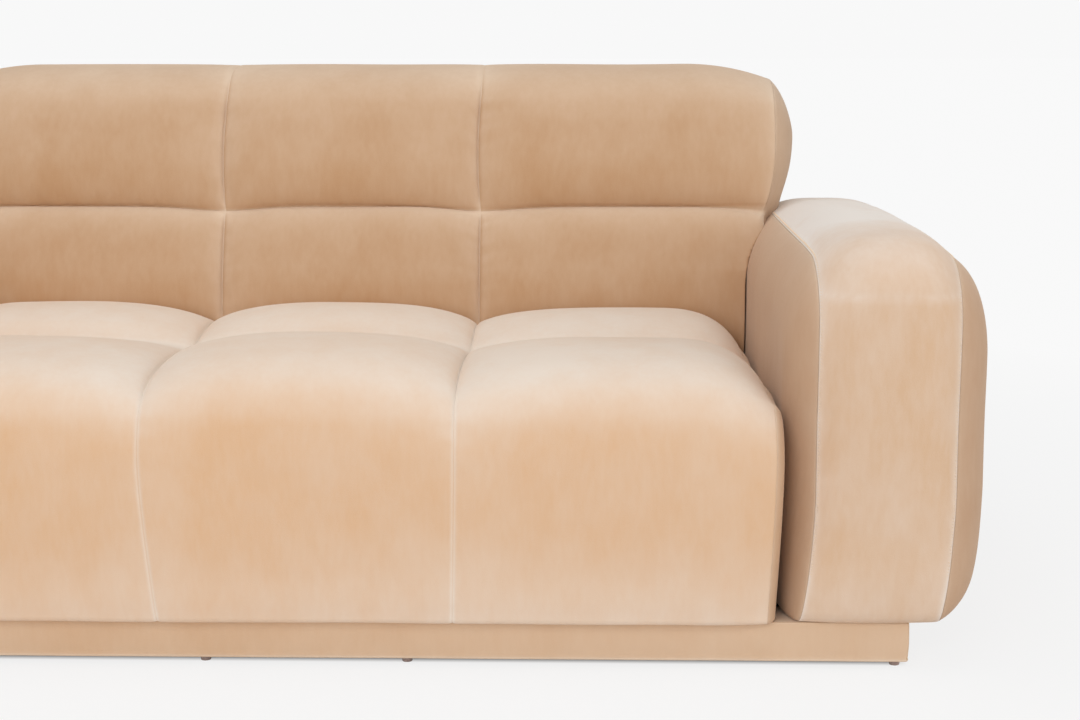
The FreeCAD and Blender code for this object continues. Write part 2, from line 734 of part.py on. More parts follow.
END_FULLNESS = 0.5
OUTER_FULLNESS = (0.4, 0.8, 1, 0.9, 0.7)
back_end = shared.block_half
outer_column = list(zip(between(seams[1], back_end), OUTER_FULLNESS))
outer_column.append((back_end, END_FULLNESS))
stations = [(-x, fullness) for x, fullness in reversed(outer_column)]
stations.append((seams[0], 0))
stations += list(zip(between(*seams), COLUMN_FULLNESS))
stations.append((seams[1], 0))
stations += outer_column
keep(soft("back_cover", [back_section(*station) for station in stations]))


# Arms, each a band cushion between two domed panels, over a box of boards that stands on the plinth
def arm_section(x, inset, crown):
    """A rounded outline of the arm: inset draws it in from the seam line, and crown swells it."""
    front = shared.arm_front + size("arm_face_crown") * (1 - crown) + inset
    rear = shared.arm_rear - size("arm_face_crown") * (1 - crown) - inset
    low = shared.plinth_top + inset
    high = size("arm_height") - size("arm_crown") * (1 - crown) - inset
    top_round = size("arm_round")
    foot_round = size("arm_foot_round")
    corners = [
        V(x, front, high - top_round), V(x, front, low + foot_round), V(x, front + foot_round, low),
        V(x, rear - foot_round, low), V(x, rear, low + foot_round), V(x, rear, high - top_round),
    ]
    edges = [line(start, end) for start, end in zip(corners, corners[1:])]
    edges.append(arc_from(corners[-1], UP, V(x, rear - top_round, high)))
    edges.append(line(V(x, rear - top_round, high), V(x, front + top_round, high)))
    edges.append(arc_from(corners[0], UP, V(x, front + top_round, high)))
    return section(edges)


def dome_inset(share, depth):
    """How far an elliptic dome of a given depth is drawn in where it has risen by a share of its height."""
    return depth * (1 - math.sqrt(max(0, 1 - share * share)))


# Levels of the domed panels' sections, as shares of the dome's height
DOME_SHARES = (0, 0.5, 0.85, 1)

# Places of the band's sections, as shares of its width
BAND_SHARES = (0, 0.12, 0.3, 0.5, 0.7, 0.88, 1)

for side, sign in SIDES.items():
    arm = side + "_arm"
    seam_in = shared.arm_seam_in
    seam_out = shared.arm_seam_out
    keep(soft(arm + "_inner_pad", [
        arm_section(sign * (seam_in - share * size("arm_dome")), dome_inset(share, size("dome_draw")), 0)
        for share in DOME_SHARES
    ]))
    keep(soft(arm + "_outer_pad", [
        arm_section(sign * (seam_out + share * size("arm_dome")), dome_inset(share, size("dome_draw")), 0)
        for share in DOME_SHARES
    ]))
    band_blank = soft(arm + "_band_blank", [
        arm_section(sign * (seam_in + share * size("arm_band")), 0, 4 * share * (1 - share))
        for share in BAND_SHARES
    ])
    core_x = "%d * (shared.arm_seam_in + sizes.arm_band / 2) - sizes.arm_band / 2" % sign
    core_depth = "shared.core_rear - shared.core_front"
    core = box(arm + "_core_space", "sizes.arm_band", core_depth, "shared.core_top - shared.plinth_top",
               core_x, "shared.core_front", "shared.plinth_top")
    keep(cut(arm + "_band", band_blank, [core]))
    face_x = "%d * (shared.arm_seam_%s %s sizes.face_board / 2) - sizes.face_board / 2"
    core_height = "shared.core_top - shared.plinth_top"
    for face, seam, way in (("inner", "in", "+"), ("outer", "out", "-")):
        keep(box("%s_%s_board" % (arm, face), "sizes.face_board", core_depth, core_height,
                 face_x % (sign, seam, way), "shared.core_front", "shared.plinth_top"))
    board_width = "sizes.arm_band - 2 * sizes.face_board"
    board_x = "%d * (shared.arm_seam_in + sizes.arm_band / 2) - (%s) / 2" % (sign, board_width)
    upright_height = "shared.core_top - shared.plinth_top - 2 * sizes.arm_board"
    upright_floor = "shared.plinth_top + sizes.arm_board"
    for end, y in (("front", "shared.core_front"), ("rear", "shared.core_rear - sizes.arm_board")):
        keep(box("%s_%s_board" % (arm, end), board_width, "sizes.arm_board", upright_height,
                 board_x, y, upright_floor))
    keep(box(arm + "_top_board", board_width, core_depth, "sizes.arm_board",
             board_x, "shared.core_front", "shared.core_top - sizes.arm_board"))
    blank = box(arm + "_base_board_blank", board_width, core_depth, "sizes.arm_board",
                board_x, "shared.core_front", "shared.plinth_top")
    keep(cut(arm + "_base_board", blank, [arm_screws]))


# Ends of the back, which lean over the arms: the end of the quilted panel, then a crowned gusset
EAR_CLEARANCE = 4
GUSSET_SHARES = (0.6, 1)

# How far the panel's end and then the gusset are drawn in, as shares of the end's height above the arm
END_DROP = 0.1375
GUSSET_DRAW = 0.456


def arm_top(x):
    """Level of the arm at x: the inner panel's dome, then the crowned band."""
    seam_top = size("arm_height") - size("arm_crown")
    if x < shared.arm_seam_in:
        share = min(1, (shared.arm_seam_in - x) / size("arm_dome"))
        return seam_top - dome_inset(share, size("dome_draw"))
    middle = (shared.arm_seam_in + shared.arm_seam_out) / 2
    offset = (x - middle) / (size("arm_band") / 2)
    return seam_top + size("arm_crown") * (1 - offset * offset)


def ear_section(x, inset):
    """The back above the arm, with its outline drawn in and its floor just clear of the arm."""
    floor = arm_top(abs(x)) + EAR_CLEARANCE
    foot, rear_edge, edges = upper_row(x, END_FULLNESS, floor, inset)
    rear_foot = V(x, rear_edge.y - shared.rear_slope * (rear_edge.z - floor), floor)
    edges.append(line(rear_edge, rear_foot))
    edges.append(line(rear_foot, foot))
    return section(edges)


gusset_start = back_end + size("back_panel_reach")
gusset_end = gusset_start + size("back_gusset")
ear_height = shared.back_lid - arm_top(gusset_end) - EAR_CLEARANCE
end_drop = END_DROP * ear_height
dome_places = [shared.arm_seam_in - share * size("arm_dome") for share in reversed(DOME_SHARES)]
panel_places = [back_end] + [x for x in dome_places if x < gusset_start] + [gusset_start]
ear = [(x, end_drop * ((x - back_end) / size("back_panel_reach")) ** 2) for x in panel_places]
ear += [
    (gusset_start + share * size("back_gusset"), end_drop + dome_inset(share, GUSSET_DRAW * ear_height))
    for share in GUSSET_SHARES
]
for side, sign in SIDES.items():
    keep(soft("back_%s_end" % side, [ear_section(sign * x, inset) for x, inset in ear]))

doc.recompute()
for obj in doc.Objects:
    if "Invalid" in obj.State or "Error" in obj.State:
        raise RuntimeError("%s failed: %s" % (obj.Label, obj.State))
for obj in pieces:
    if obj.Shape.isNull() or not obj.Shape.isValid() or not obj.Shape.Solids:
        raise RuntimeError("%s has no sound solid" % obj.Label)

os.makedirs("parts", exist_ok=True)
for obj in pieces:
    obj.Shape.exportStep("parts/%s.step" % obj.Label)
    print("%-28s solids %2d  volume %12.0f" % (obj.Label, len(obj.Shape.Solids), obj.Shape.Volume))
print(len(pieces), "nodes")
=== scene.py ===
import math

import bmesh
import bpy
import numpy as np
from mathutils import Matrix, Vector, noise


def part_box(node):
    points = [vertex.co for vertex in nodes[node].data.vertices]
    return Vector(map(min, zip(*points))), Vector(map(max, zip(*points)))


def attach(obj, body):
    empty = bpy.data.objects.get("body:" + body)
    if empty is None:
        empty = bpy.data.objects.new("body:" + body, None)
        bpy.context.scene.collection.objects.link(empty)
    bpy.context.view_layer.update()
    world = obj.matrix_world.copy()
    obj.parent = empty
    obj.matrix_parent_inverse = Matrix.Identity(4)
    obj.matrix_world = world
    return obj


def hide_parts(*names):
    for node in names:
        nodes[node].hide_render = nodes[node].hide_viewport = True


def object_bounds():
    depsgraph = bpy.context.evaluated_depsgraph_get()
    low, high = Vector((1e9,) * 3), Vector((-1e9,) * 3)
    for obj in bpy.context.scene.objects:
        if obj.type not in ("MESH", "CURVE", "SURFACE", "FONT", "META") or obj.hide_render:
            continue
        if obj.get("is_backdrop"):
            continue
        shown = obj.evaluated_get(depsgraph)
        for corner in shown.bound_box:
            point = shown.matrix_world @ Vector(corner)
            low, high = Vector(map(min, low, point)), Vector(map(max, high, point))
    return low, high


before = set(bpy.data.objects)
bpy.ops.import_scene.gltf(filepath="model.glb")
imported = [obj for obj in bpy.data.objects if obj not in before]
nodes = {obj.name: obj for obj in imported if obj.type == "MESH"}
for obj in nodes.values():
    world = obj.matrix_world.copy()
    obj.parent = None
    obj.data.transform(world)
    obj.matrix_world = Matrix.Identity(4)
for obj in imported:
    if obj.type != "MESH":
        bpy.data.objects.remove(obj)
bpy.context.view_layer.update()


# Floor glides. Small tapered feet of moulded plastic, tacked under the plinth's front and rear rails.
# They carry the sofa and keep the velvet hem off the floor.
class Wire:
    """A value in a material. Arithmetic on it adds Math nodes."""

    def __init__(self, finish, socket):
        self.finish = finish
        self.socket = socket

    def math(self, operation, *values):
        return self.finish.node("Math", {"operation": operation}, dict(enumerate(values)))

    def __add__(self, other):
        return self.math("ADD", self, other)

    __radd__ = __add__

    def __sub__(self, other):
        return self.math("SUBTRACT", self, other)

    def __rsub__(self, other):
        return self.math("SUBTRACT", other, self)

    def __mul__(self, other):
        return self.math("MULTIPLY", self, other)

    __rmul__ = __mul__

    def spread(self, low, high):
        """The value as a share of the way from low to high, kept between 0 and 1."""
        ends = {"Value": self, "From Min": low, "From Max": high}
        return self.finish.node("MapRange", {"clamp": True}, ends)


class Finish:
    """The nodes of a material or of the room, with one way to add a node."""

    def __init__(self, owner):
        owner.use_nodes = True
        self.owner = owner
        self.tree = owner.node_tree
        self.shader = self.tree.nodes.get("Principled BSDF")
        self.place = self.node("TexCoord", output="Object")

    def node(self, kind, settings=None, inputs=None, output=0):
        made = self.tree.nodes.new("ShaderNode" + kind)
        for key, value in (settings or {}).items():
            setattr(made, key, value)
        for key, value in (inputs or {}).items():
            self.plug(made.inputs[key], value)
        return Wire(self, made.outputs[output])

    def plug(self, socket, value):
        if isinstance(value, Wire):
            self.tree.links.new(value.socket, socket)
        else:
            socket.default_value = value

    def surface(self, **values):
        for key, value in values.items():
            self.plug(self.shader.inputs[key.replace("_", " ")], value)

    def speckle(self, scale, detail=0.0, stretch=None):
        """Noise by place, with about scale spots to the metre."""
        place = self.place
        if stretch:
            place = self.node("Mapping", inputs={"Vector": place, "Scale": stretch})
        return self.node("TexNoise", inputs={"Vector": place, "Scale": scale, "Detail": detail})

    def mix(self, share, first, second):
        return self.node("Mix", {"data_type": "RGBA"}, {0: share, 6: first, 7: second}, 2)

    def bump(self, height, depth, strength=1.0):
        return self.node("Bump", inputs={"Height": height, "Distance": depth, "Strength": strength})

    def mottled(self, mask, dark, pale, rough, varies, depth):
        """Colour, roughness and bump that all follow one mask."""
        self.surface(
            Base_Color=self.mix(mask, shade(*dark), shade(*pale)),
            Roughness=rough + varies * mask,
            Normal=self.bump(mask, depth),
        )


def shade(red, green, blue):
    """A screen colour as the shader takes it."""
    return [((part / 255 + 0.055) / 1.055) ** 2.4 for part in (red, green, blue)] + [1]


def finish_of(name):
    """A new finish for pieces of one material."""
    return Finish(bpy.data.materials.new(name))


def wear(finish, *names):
    """Puts a finish on pieces that keep their solid shape."""
    for name in names:
        slots = nodes[name].data.materials
        slots.clear()
        slots.append(finish.owner)


glide_plastic = finish_of("glide_plastic")
cloud = glide_plastic.speckle(300)
glide_plastic.surface(
    Base_Color=glide_plastic.mix(cloud, shade(150, 128, 122), shade(186, 164, 156)),
    Roughness=0.35 + 0.2 * cloud,
    Normal=glide_plastic.bump(glide_plastic.speckle(1500), 0.0001),
)
wear(glide_plastic, "floor_glides")

# Plinth frame. Planed softwood rails and corner blocks, butted and glued, hidden under the velvet.
# Four cross rails stand between the front and the rear rail.
timber = finish_of("timber")
grain = timber.speckle(12, 6, (0.6, 9, 9))
fibre = timber.speckle(60, 4, (0.4, 12, 12))
timber.surface(
    Base_Color=timber.mix(grain, shade(176, 134, 90), shade(216, 182, 136)),
    Roughness=0.6 + 0.25 * fibre,
    Normal=timber.bump(fibre, 0.0004),
)
wear(
    timber, "plinth_front_rail", "plinth_rear_rail", "plinth_left_rail", "plinth_right_rail",
    "plinth_cross_rails", "plinth_corner_blocks",
)

# Screws and bolts. Zinc-plated steel, driven up through the plinth into the seat frame and the arms,
# and back through the seat's rear rail into the posts of the back.
zinc = finish_of("zinc")
plating = zinc.speckle(400, 3)
zinc.mottled(plating, (168, 168, 162), (204, 204, 198), rough=0.3, varies=0.2, depth=0.00005)
zinc.surface(Metallic=1.0)
wear(zinc, "seat_screws", "arm_screws", "back_bolts")


# Plinth cover. One strip of velvet pulled round the rails, with its ends joined at the rear. Its lower edge
# is turned under in a thin hem, painted paler as sheen, and its upper edge in over the rails, and both are
# stapled there.
def velvet(name, deep, pale, lift=0.65):
    """Cut-pile velvet: brushed patches, painted top light and painted sheen that make it paler on top and
    along the seams, and a fine pile.
    """
    finish = finish_of(name)
    patches = finish.speckle(5, 2).spread(0.3, 0.7)
    strokes = finish.speckle(24, 2, (1, 1, 0.5)).spread(0.3, 0.7)
    brushed = finish.speckle(120, 2, (1, 1, 0.3))
    pile = finish.speckle(1100)
    normal = finish.node("NewGeometry", output="Normal")
    # Painted top light: faces that turn upwards are made paler, weighted by lift, as if lit from above
    painted_top_light = finish.node("SeparateXYZ", inputs={0: normal}, output="Z").spread(0.2, 0.95)
    # Painted sheen and light, given by each piece at each of its points
    painted_sheen = finish.node("Attribute", {"attribute_name": "painted_sheen"}, output="Fac")
    mottle = 0.6 * patches + 0.4 * strokes
    lit_and_mottled_paleness = lift * painted_top_light + 0.7 * painted_sheen + 0.34 * (mottle - 0.5) + 0.2 * (brushed - 0.5) + 0.12 * (pile - 0.5)
    finish.surface(
        Base_Color=finish.mix(lit_and_mottled_paleness.spread(-0.15, 1.0), deep, pale),
        Roughness=0.76 + 0.14 * mottle,
        Sheen_Weight=0.22,
        Sheen_Roughness=0.35,
        Sheen_Tint=shade(255, 240, 224),
        Specular_IOR_Level=0.1,
        Normal=finish.bump(pile, 0.0003, 0.5),
    )
    return finish


def closed(name, points, faces):
    """A smooth closed mesh through points in millimetres, with its faces turned outward."""
    mesh = bpy.data.meshes.new(name)
    mesh.from_pydata((np.asarray(points) / 1000).tolist(), [], faces)
    mesh.polygons.foreach_set("use_smooth", [True] * len(faces))
    work = bmesh.new()
    work.from_mesh(mesh)
    bmesh.ops.recalc_face_normals(work, faces=work.faces)
    work.to_mesh(mesh)
    work.free()
    obj = bpy.data.objects.new(name, mesh)
    bpy.context.scene.collection.objects.link(obj)
    return obj


def skin(name, rings, painted_sheen=None, capped=True):
    """A closed form through rings of points in millimetres, with the share of painted sheen and light at each
    point.

    Its ends are capped, or else the last ring is joined to the first.
    """
    rings = np.asarray(rings, float)
    count, around = rings.shape[:2]
    index = np.arange(count * around).reshape(count, around)
    caps = [index[0].tolist(), index[-1][::-1].tolist()] if capped else []
    if not capped:
        index = np.vstack([index, index[:1]])
    follow = np.roll(index, -1, 1)
    quads = np.stack([index[:-1], index[1:], follow[1:], follow[:-1]], -1).reshape(-1, 4)
    obj = closed(name, rings.reshape(-1, 3), quads.tolist() + caps)
    shares = np.zeros(count * around) if painted_sheen is None else np.asarray(painted_sheen, float).ravel()
    attribute = obj.data.attributes.new("painted_sheen", "FLOAT", "POINT")
    attribute.data.foreach_set("value", shares.astype(np.float32))
    return obj


def dress(obj, finish, slot, *stands_for):
    """Finishes a piece, fixes it to the sofa and lets it stand for its plain solids."""
    obj.data.materials.append(finish.owner)
    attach(obj, "root")
    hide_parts(*stands_for)
    return obj


def mm(node):
    """Lowest and highest corner of a solid in millimetres."""
    return [np.array(corner) * 1000 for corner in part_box(node)]


plinth_low, plinth_high = mm("plinth_cover")
CORNER, LOOP_STEP = 5.0, 25.0


def plinth_loop():
    """Points along the plinth's outline, with its corners rounded."""
    (left, front), (right, rear) = plinth_low[:2], plinth_high[:2]
    sides = []
    for x, y, start in ((right, front, -90), (right, rear, 0), (left, rear, 90), (left, front, 180)):
        centre = (x - math.copysign(CORNER, x), y - math.copysign(CORNER, y))
        for turn in np.radians(np.linspace(start, start + 90, 7)):
            sides.append((centre[0] + CORNER * math.cos(turn), centre[1] + CORNER * math.sin(turn)))
    loop = []
    for start, end in zip(sides, sides[1:] + sides[:1]):
        steps = max(1, int(math.dist(start, end) / LOOP_STEP))
        loop += [np.array(start) + (np.array(end) - start) * k / steps for k in range(steps)]
    return np.array(loop)


floor_edge, top_edge = plinth_low[2], plinth_high[2]
HEM, RETURN, TOP_RETURN, LAP, UNDERLAP, CLOTH = 3.0, 32.0, 70.0, 0.15, 0.03, 1.95
# Inset and level of each line round the strip's section: the return below, the hem, the face, the return
# above, and then back along the inner side of the cloth
levels = (
    (RETURN, floor_edge + 0.2), (3, floor_edge), (0.8, floor_edge + 0.5), (0.2, floor_edge + HEM),
    (1.1, floor_edge + HEM + 0.8), (0.6, floor_edge + 10), (0.2, floor_edge + 18), (0, floor_edge + 26),
    (0.2, floor_edge + 38), (0.5, top_edge - 7), (0.8, top_edge - 2), (1.2, top_edge - 0.8), (2.4, top_edge),
    (5, top_edge + LAP), (TOP_RETURN, top_edge + LAP), (TOP_RETURN, top_edge + UNDERLAP),
    (4, top_edge + UNDERLAP), (CLOTH, top_edge - 1), (CLOTH, floor_edge + CLOTH),
    (RETURN, floor_edge + CLOTH),
)
FACE_DEPTH, WAVER = 1.5, 0.7
# Painted sheen on the turned hem and a little on the face, and painted light that grows towards the
# right-hand end
HEM_PAINTED_SHEEN, FACE_PAINTED_SHEEN, RIGHT_PAINTED_LIGHT = 0.75, 0.05, 0.25
base_loop = plinth_loop()
middle = (plinth_low[:2] + plinth_high[:2]) / 2
half = (plinth_high[:2] - plinth_low[:2]) / 2
plinth_rings = []
plinth_painted_sheen = []
for inset, level in levels:
    ring = middle + (base_loop - middle) * (1 - inset / half)
    if inset <= FACE_DEPTH:
        waver = np.array([noise.noise(Vector((x / 90, y / 90, level / 60))) for x, y in ring])
        ring = middle + (ring - middle) * (1 - WAVER * waver[:, None] / half)
    plinth_rings.append(np.column_stack([ring, np.full(len(ring), level)]))
    level_painted_sheen = HEM_PAINTED_SHEEN if level < floor_edge + HEM + 0.5 else FACE_PAINTED_SHEEN
    plinth_painted_sheen.append(level_painted_sheen + RIGHT_PAINTED_LIGHT * np.clip(ring[:, 0] / 800, 0, 1))
plinth_velvet = velvet("plinth_velvet", shade(213, 178, 145), shade(232, 212, 190))
plinth = skin("plinth_wrap", plinth_rings, plinth_painted_sheen, capped=False)
dress(plinth, plinth_velvet, "velvet", "plinth_cover")
strip_width = RETURN + top_edge - floor_edge + TOP_RETURN
strip_length = np.linalg.norm(np.roll(base_loop, -1, 0) - base_loop, axis=1).sum()
strip_width / 1000
(strip_width * strip_length - 4 * (RETURN ** 2 + TOP_RETURN ** 2)) / 1e6

# Dust cover. One flat piece of thin black non-woven cloth, cut to the inside of the plinth.
# It is stapled up inside the turned hem of the plinth cover, and closes the underside.
dust_cloth = finish_of("dust_cloth")
felted = dust_cloth.speckle(700, 4)
dust_cloth.mottled(felted, (26, 26, 27), (52, 51, 50), rough=0.8, varies=0.15, depth=0.0003)
wear(dust_cloth, "dust_cover")

# Seat frame. Four softwood rails with two stretchers between them and a glued block in each corner.
# Screws that come up through the plinth hold it down.
wear(
    timber, "seat_front_rail", "seat_rear_rail", "seat_left_rail", "seat_right_rail", "seat_stretchers",
    "seat_corner_blocks",
)

# Webbing. Black woven elastic straps in two crossing sets, under the seat foam and behind the back foam.
# They are stretched and stapled to the rails of the seat frame and to the posts and rails of the back.
elastic = finish_of("elastic")
lines = elastic.node("TexWave", {"bands_direction": "DIAGONAL"}, {"Vector": elastic.place, "Scale": 160.0})
elastic.mottled(lines, (34, 32, 30), (74, 70, 66), rough=0.7, varies=0.2, depth=0.0004)
wear(
    elastic, "seat_webbing_lengthwise", "seat_webbing_crosswise", "back_webbing_upright",
    "back_webbing_level",
)

# Foam. A plain block on the seat's webbing, a pad on each end of the seat frame and a slab that leans on
# the back's webbing, all of cut cream foam with slightly slack edges.
foam = finish_of("foam")
cells = foam.speckle(900, 3)
foam.mottled(cells, (226, 214, 170), (244, 236, 206), rough=0.85, varies=0.1, depth=0.0006)


def boxy(wave, power):
    """A sine or cosine pushed out towards a square, for the section of a rounded box."""
    return np.sign(wave) * np.abs(wave) ** power


FOAM_EDGE = 0.12


def foam_block(name, low, high, lean, *stands_for):
    """A block of foam with rounded edges, whose sides lean back as they rise."""
    low, high = np.array(low, float), np.array(high, float)
    middle, half = (low + high) / 2, (high - low) / 2
    turn = np.radians(np.arange(0, 360, 7.5))
    round_y = boxy(np.cos(turn), FOAM_EDGE)
    round_z = boxy(np.sin(turn), FOAM_EDGE)
    rings = []
    for share in (-1, -0.995, -0.97, -0.5, 0, 0.5, 0.97, 0.995, 1):
        draw = 1 - 0.06 * abs(share) ** 60
        z = middle[2] + half[2] * draw * round_z
        y = middle[1] + half[1] * draw * round_y + lean * (z - low[2])
        rings.append(np.column_stack([np.full(len(y), middle[0] + half[0] * share), y, z]))
    return dress(skin(name, rings), foam, "foam", *stands_for)


foam_block("seat_foam_block", *mm("seat_foam"), 0, "seat_foam")
pad_low, pad_high = mm("seat_side_pads")
frame_half = mm("seat_front_rail")[1][0]
# Gap between the foam and the wood, and how much thinner the tapered ends of the seat press the pads
CLEAR, SQUEEZE = 0.3, 21.0
pad_inner, pad_outer = frame_half + CLEAR, pad_high[0] - SQUEEZE
foam_block("seat_left_side_pad", (-pad_outer, *pad_low[1:]), (-pad_inner, *pad_high[1:]), 0, "seat_side_pads")
foam_block("seat_right_side_pad", (pad_inner, *pad_low[1:]), (pad_outer, *pad_high[1:]), 0, "seat_side_pads")
slab_low, slab_high = mm("back_foam")
SLAB_DEPTH = 60.0
slab_lean = (slab_high[1] - slab_low[1] - SLAB_DEPTH) / (slab_high[2] - slab_low[2])
slab_far = np.array([slab_high[0], slab_low[1] + SLAB_DEPTH, slab_high[2]])
foam_block("back_foam_slab", slab_low + CLEAR, slab_far - CLEAR, slab_lean, "back_foam")

# Seat upholstery. Velvet sewn through thick wadding in three columns and two rows, pulled over the front
# of the seat frame and stapled under it. A narrow gusset closes each end beside the arm.
COLUMN_HALF = 214.0


def set_at(x, section):
    """A section of rear distances and heights, set at x."""
    return np.column_stack([np.full(len(section), x), section])


def run_of(path):
    """Distance along a path at each of its points."""
    return np.concatenate([[0], np.cumsum(np.linalg.norm(np.diff(path, axis=0), axis=1))])


def along(points, count):
    """Points evenly spaced along a smooth curve through rows of numbers, by the first two of each."""
    points = np.array(points, float)
    run = run_of(points[:, :2])
    slope = np.gradient(points, run, axis=0)
    fine = []
    for i in range(len(points) - 1):
        part = np.linspace(0, 1, 10, endpoint=False)[:, None]
        length = run[i + 1] - run[i]
        fine.append(
            points[i] * (1 + 2 * part) * (1 - part) ** 2 + points[i + 1] * part ** 2 * (3 - 2 * part)
            + length * part * (1 - part) * (slope[i] * (1 - part) - slope[i + 1] * part)
        )
    fine = np.vstack(fine + [points[-1:]])
    run = run_of(fine[:, :2])
    where = np.linspace(0, run[-1], count)
    return np.column_stack([np.interp(where, run, column) for column in fine.T])


def toward_inside(path):
    """Unit normals of an upper line that runs from front to rear, pointing into the padding."""
    ahead = np.gradient(path[:, :2], axis=0)
    ahead /= np.linalg.norm(ahead, axis=1)[:, None] + 1e-9
    return np.column_stack([ahead[:, 1], -ahead[:, 0]])


def swell(share, fall, rise):
    """How full a column is at a share of its width: 0 in its seams and 1 in the middle."""
    return np.maximum(0, 1 - np.abs(2 * share - 1) ** fall) ** rise


def crowded(count):
    """Shares from 0 to 1, closer together near both ends."""
    even = np.linspace(0, 1, count)
    return 0.25 * even + 0.75 * (0.5 - 0.5 * np.cos(np.pi * even))


# Upper line on a column's crown, from the foot of the front to the rear: rear distance, height, depth of
# the column seams' valley, and how strongly the seat's end draws the line in
FRONT_ROW = (
    (-427, 67.5, 0, 0), (-456, 67.5, 0, 0.05), (-463, 70, 0, 0.1), (-466.5, 84, 0, 0.15),
    (-471, 140, 0, 0.15), (-475, 210, 0, 0.15), (-476.5, 270, 1, 0.17), (-474.5, 322, 5, 0.25),
    (-466, 364, 14, 0.42), (-445, 400, 28, 0.64), (-408, 424, 38, 0.85), (-355, 437, 42, 1),
    (-300, 440, 42, 1), (-245, 437.5, 41, 1), (-195, 430, 37, 1), (-155, 420, 32, 0.95),
    (-130, 411, 27, 0.9), (-116.5, 404, 24, 0.9),
)
REAR_ROW = (
    (-116.5, 404, 24, 0.9), (-104, 412, 28, 0.9), (-80, 424, 36, 0.95), (-45, 435, 42, 1), (-5, 440, 42, 1),
    (40, 438, 40, 1), (80, 428, 35, 0.95), (110, 414, 28, 0.9), (128, 400, 23, 0.85), (150, 397.5, 21, 0.8),
    (218, 397.5, 20, 0.8),
)
front_row = along(FRONT_ROW, 130)
seat_line = np.vstack([front_row, along(REAR_ROW, 66)[1:]])
seat_inside = toward_inside(seat_line)
row_seam = len(front_row) - 1
# The hidden inner side, over the seat frame and down behind its front
tunnel = np.array([(218, 301), (-100, 301), (-426.5, 301), (-426.5, 180)])
SEAT_SEAM, SEAT_FOOT = 648.0, 67.2
SHOULDER, SHOULDER_START, SHOULDER_PAST = 100.0, 515.0, 9.0
CREASE = 1.8
# Share of the middle column's fullness that the outer columns have, in the front and the rear row
OUTER_CREST = {-1: (0.8, 1.0), 1: (0.8, 0.8)}


def shoulder(x):
    """How far the seat has rounded down towards the arm."""
    share = np.clip((abs(x) - SHOULDER_START) / (SEAT_SEAM + SHOULDER_PAST - SHOULDER_START), 0, 1)
    return SHOULDER * (1 - math.sqrt(1 - share ** 2.6))


def ripple(run, gap, pitch, depth, reach, seed):
    """Small gathers that die away from a seam: run along it and gap from it, in millimetres."""
    wave = np.array([noise.noise(Vector((r / pitch, seed, g / (3 * reach)))) for r, g in zip(run, gap)])
    return depth * wave * np.exp(-gap / reach) * (1 - np.exp(-gap / 2.5))


seat_run = run_of(seat_line[:, :2])


def column_share(x):
    """Share of the way across the seat's column at x, with the outer columns held full towards the arms."""
    if abs(x) <= COLUMN_HALF:
        return (x + COLUMN_HALF) / (2 * COLUMN_HALF)
    share = (abs(x) - COLUMN_HALF) / (SEAT_SEAM - COLUMN_HALF)
    return share if share < 0.5 else 0.5 + 0.62 * (share - 0.5)


def seat_fullness(x):
    """How full the seat is at x, in the front and the rear row."""
    full = float(swell(np.array(column_share(x)), 2.6, 0.62))
    front, rear = OUTER_CREST[int(math.copysign(1, x))] if abs(x) > COLUMN_HALF else (1, 1)
    return full * front, full * rear


def seat_ring(x, seed):
    """The seat's section at x, and its painted sheen and light."""
    share = column_share(x)
    front, rear = seat_fullness(x)
    y, z, valley, draw = seat_line.T
    full = front + (rear - front) * np.clip(0.5 + (seat_run - seat_run[row_seam]) / 90, 0, 1)
    gap = np.full(len(y), min(share, 1 - share) * 2 * COLUMN_HALF)
    row_gap = np.abs(seat_run - seat_run[row_seam])
    inward = valley * (1 - full) + draw * shoulder(x) + CREASE * np.exp(-gap / 3)
    seam_gathers = ripple(seat_run, gap, pitch=17, depth=1.2, reach=20, seed=seed)
    inward = inward + seam_gathers * np.clip((z - 200) / 120, 0.15, 1)
    inward = inward + ripple(np.full(len(y), x), row_gap, pitch=19, depth=1.5, reach=24, seed=7.3)
    broad = np.array([noise.noise(Vector((x / 170, a / 150, b / 150))) for a, b in zip(y, z)])
    inward = inward + 1.5 * broad * full
    points = seat_line[:, :2] + seat_inside * inward[:, None]
    points[:, 1] = np.maximum(points[:, 1], SEAT_FOOT)
    loop = np.vstack([points, tunnel])
    # Painted sheen and light make the velvet paler along the seams, on the row seam's upturned lip and the
    # crowns, low on the front and over the right column
    low = np.clip((210 - z) / 140, 0, 1)
    high = np.clip((z - 320) / 100, 0, 1)
    painted_sheen = np.exp(-((gap - 2.0) / 1.6) ** 2) * 0.6 + np.exp(-gap / 60) * 0.25 + np.exp(-row_gap / 7) * 0.4
    painted_sheen = painted_sheen + 0.6 * low ** 1.3 + 0.2 * high + 0.14 * np.clip((x - COLUMN_HALF) / 60, 0, 1)
    painted_sheen = np.concatenate([painted_sheen, np.zeros(len(tunnel))])
    return set_at(x, loop), painted_sheen


SEAM_TAPER = {-1: 16.0, 1: -5.0}
END_TAPER = 8.0
TAPER_START, TAPER_HEIGHT = 300.0, 230.0
SEAT_TOE, TOE_START, TOE_LENGTH = 13.0, -335.0, 480.0


def toe(y):
    """How far the sides of the seating space have drawn together towards the back, as a share."""
    share = np.clip((y - TOE_START) / TOE_LENGTH, 0, 1)
    return share * share * (3 - 2 * share)


